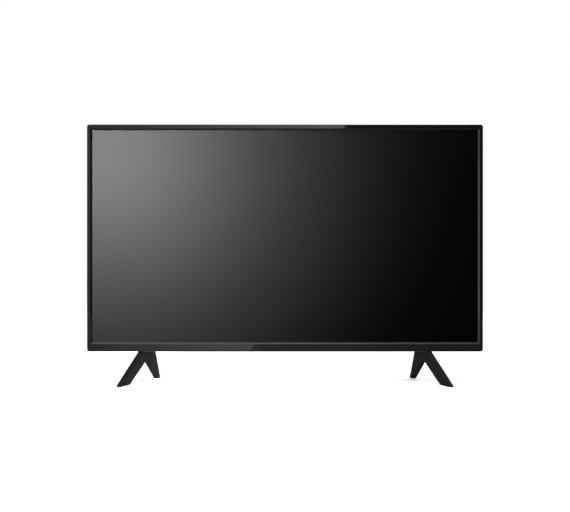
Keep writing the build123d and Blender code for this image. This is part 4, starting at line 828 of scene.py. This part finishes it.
floor_reach = 12.0
near_glow = (0.6, 0.5)
far_glow = (2.4, 0.77)
floor_white = Finish("floor_white", Roughness=1.0, Specular_IOR_Level=0.0, Emission_Strength=1.0)
floor_white.coloured(floor_white.noise(0.5), (0.8, 0.8, 0.8), spread=0.01)
seen = floor_white.make("LightPath", {}, {}, "Is Camera Ray")
distance = floor_white.make("VectorMath", {"operation": "LENGTH"}, {0: floor_white.place}, "Value")
floor_white.feed("Emission Color", seen * ramp(floor_white, distance, near_glow, far_glow))
stage_sheet(
    "floor",
    [
        (-floor_reach, -floor_reach, 0),
        (floor_reach, -floor_reach, 0),
        (floor_reach, floor_reach, 0),
        (-floor_reach, floor_reach, 0),
    ],
    floor_white,
)

room_light = 0.3
room_shown = 1.0
room = bpy.data.worlds.new("room")
room.use_nodes = True
scene.world = room
sky = Nodes(room.node_tree, "Background")
ray_kinds = ("Is Camera Ray", "Is Glossy Ray", "Is Transmission Ray")
camera_ray, glossy_ray, clear_ray = (sky.make("LightPath", {}, {}, kind) for kind in ray_kinds)
shown = camera_ray + glossy_ray + clear_ray
sky.feed("Strength", ramp(sky, shown, (0, room_light), (1, room_shown)))
sky.shader.inputs["Color"].default_value = (1, 1, 1, 1)


# Lamps: a small key lamp at the upper left, whose narrow beam leaves the soft patch on the screen, a
# wide lamp overhead and a wide fill behind. The bezel and the feet are kept out of the key lamp's
# light, so that their greys stay even.
def lamp(name, place, target, size, power, spread=pi):
    """A square lamp that faces a point, out of the camera's sight."""
    light = bpy.data.lights.new(name, "AREA")
    light.size = size
    light.energy = power
    light.spread = spread
    holder = bpy.data.objects.new(name, light)
    scene.collection.objects.link(holder)
    reach = np.subtract(target, place)
    across = float(np.hypot(reach[0], reach[1]))
    holder.location = place
    holder.rotation_euler = (atan2(across, -reach[2]), 0, atan2(-reach[0], reach[1]))
    holder.visible_camera = False
    return holder


key = lamp(
    "key",
    place=(-0.75, -1.82, 0.743),
    target=(-0.441, 0, 0.567),
    size=0.3,
    power=26.0,
    spread=radians(44),
)
key.data.cycles.use_multiple_importance_sampling = False
unlit = bpy.data.collections.new("out_of_the_key")
for name in ("front_bezel", "foot_left", "foot_right"):
    unlit.objects.link(cad[name])
key.light_linking.receiver_collection = unlit
for member in unlit.collection_objects:
    member.light_linking.link_state = "EXCLUDE"
lamp("overhead", place=(0.3, -0.9, 2.6), target=(0, 0, 0.3), size=1.2, power=45.0)
lamp("fill", place=(1.1, 2.4, 1.7), target=(0, 0.05, 0.3), size=1.6, power=60.0)


# Cards: a dark flag on the floor and another standing in front of the set, beside a lit panel whose
# edge slants, and a paler valance over both. Only the gloss of the set sees them, and they give the
# four sides of the bezel their greys.
def card(name, corners, finish):
    """A sheet of the studio that only reflections see."""
    sheet = stage_sheet(name, corners, finish)
    sheet.visible_camera = False
    sheet.visible_diffuse = False
    sheet.visible_shadow = False
    sheet.visible_transmission = False
    sheet.visible_volume_scatter = False


def standing(*corners):
    """The corners of a card that stands in front of the set, from their places along X and Z."""
    return [(x, card_front, z) for x, z in corners]


card_front = -0.85
card_half = 2.2
card_foot = 0.002
card_top = 0.93
valance_top = 2 * card_top
flag_near = -0.03
panel_edge_top = (0.277, card_top)
panel_edge_bottom = (-0.109, card_foot)

# The flags glow faintly where they are under a tenth of a metre high, more at the left than the right: a
# painted sheen, which the gloss of the bezel shows near its foot.
flag_glow_left = (-0.1, 0.2)
flag_glow_right = (0.65, 0.06)
flag_glow_below = 0.1
flag_black = Finish("flag_black", Roughness=1.0, Specular_IOR_Level=0.0, Emission_Strength=1.0)
flag_black.coloured(flag_black.noise(0.1), (0.002, 0.002, 0.002), spread=0.1)
flag_glow = ramp(flag_black, flag_black.axis(0), flag_glow_left, flag_glow_right)
flag_black.feed("Emission Color", flag_glow * (flag_black.axis(2) < flag_glow_below))
card(
    "flag_floor",
    [
        (-card_half, card_front, card_foot),
        (card_half, card_front, card_foot),
        (card_half, flag_near, card_foot),
        (-card_half, flag_near, card_foot),
    ],
    flag_black,
)
card(
    "flag_wall",
    standing(panel_edge_bottom, (card_half, card_foot), (card_half, card_top), panel_edge_top),
    flag_black,
)

# The lit panel glows over a border at its foot, its top and its far end, and is dark inside that but
# for one upright strip. The glow rises from left to right, with a lift at the outside and a climb
# with height at the far end. The border's three parts add up, to over a half where any one is.
glowing = {
    "Roughness": 1.0,
    "Specular_IOR_Level": 0.0,
    "Base_Color": (0, 0, 0, 1),
    "Emission_Strength": 1.0,
}
rise_left = (-0.65, 0.25)
rise_right = (0.2, 1.05)
outside_left = (-1.05, 0.5)
outside_right = (-0.75, 0.0)
climb_rate = 0.25
climb_start = 0.25
climb_stop = 0.705
far_end_x = -0.57
border_low = 0.1
border_high = 0.64
strip_left = -0.34
strip_right = -0.21
strip_glow = 0.85
half = 0.5
lit_panel = Finish("lit_panel", **glowing)
panel_x = lit_panel.axis(0)
panel_z = lit_panel.axis(2)
rise = ramp(lit_panel, panel_x, rise_left, rise_right)
outside = ramp(lit_panel, panel_x, outside_left, outside_right)
far_end = panel_x < far_end_x
climb = climb_rate * (panel_z - climb_start) * far_end * (panel_z < climb_stop)
border = far_end + (panel_z < border_low) + (panel_z > border_high)
strip = (panel_x > strip_left) * (panel_x < strip_right) * (border < half)
lit_panel.feed("Emission Color", (rise + outside + climb) * (border > half) + strip_glow * strip)
card(
    "panel",
    standing((-card_half, card_foot), panel_edge_bottom, panel_edge_top, (-card_half, card_top)),
    lit_panel,
)

fade_left = (0.05, 1.05)
fade_right = (0.45, 0.65)
valance = Finish("valance", **glowing)
valance.feed("Emission Color", ramp(valance, valance.axis(0), fade_left, fade_right))
card(
    "valance",
    standing(
        (-card_half, card_top), (card_half, card_top), (card_half, valance_top), (-card_half, valance_top)
    ),
    valance,
)
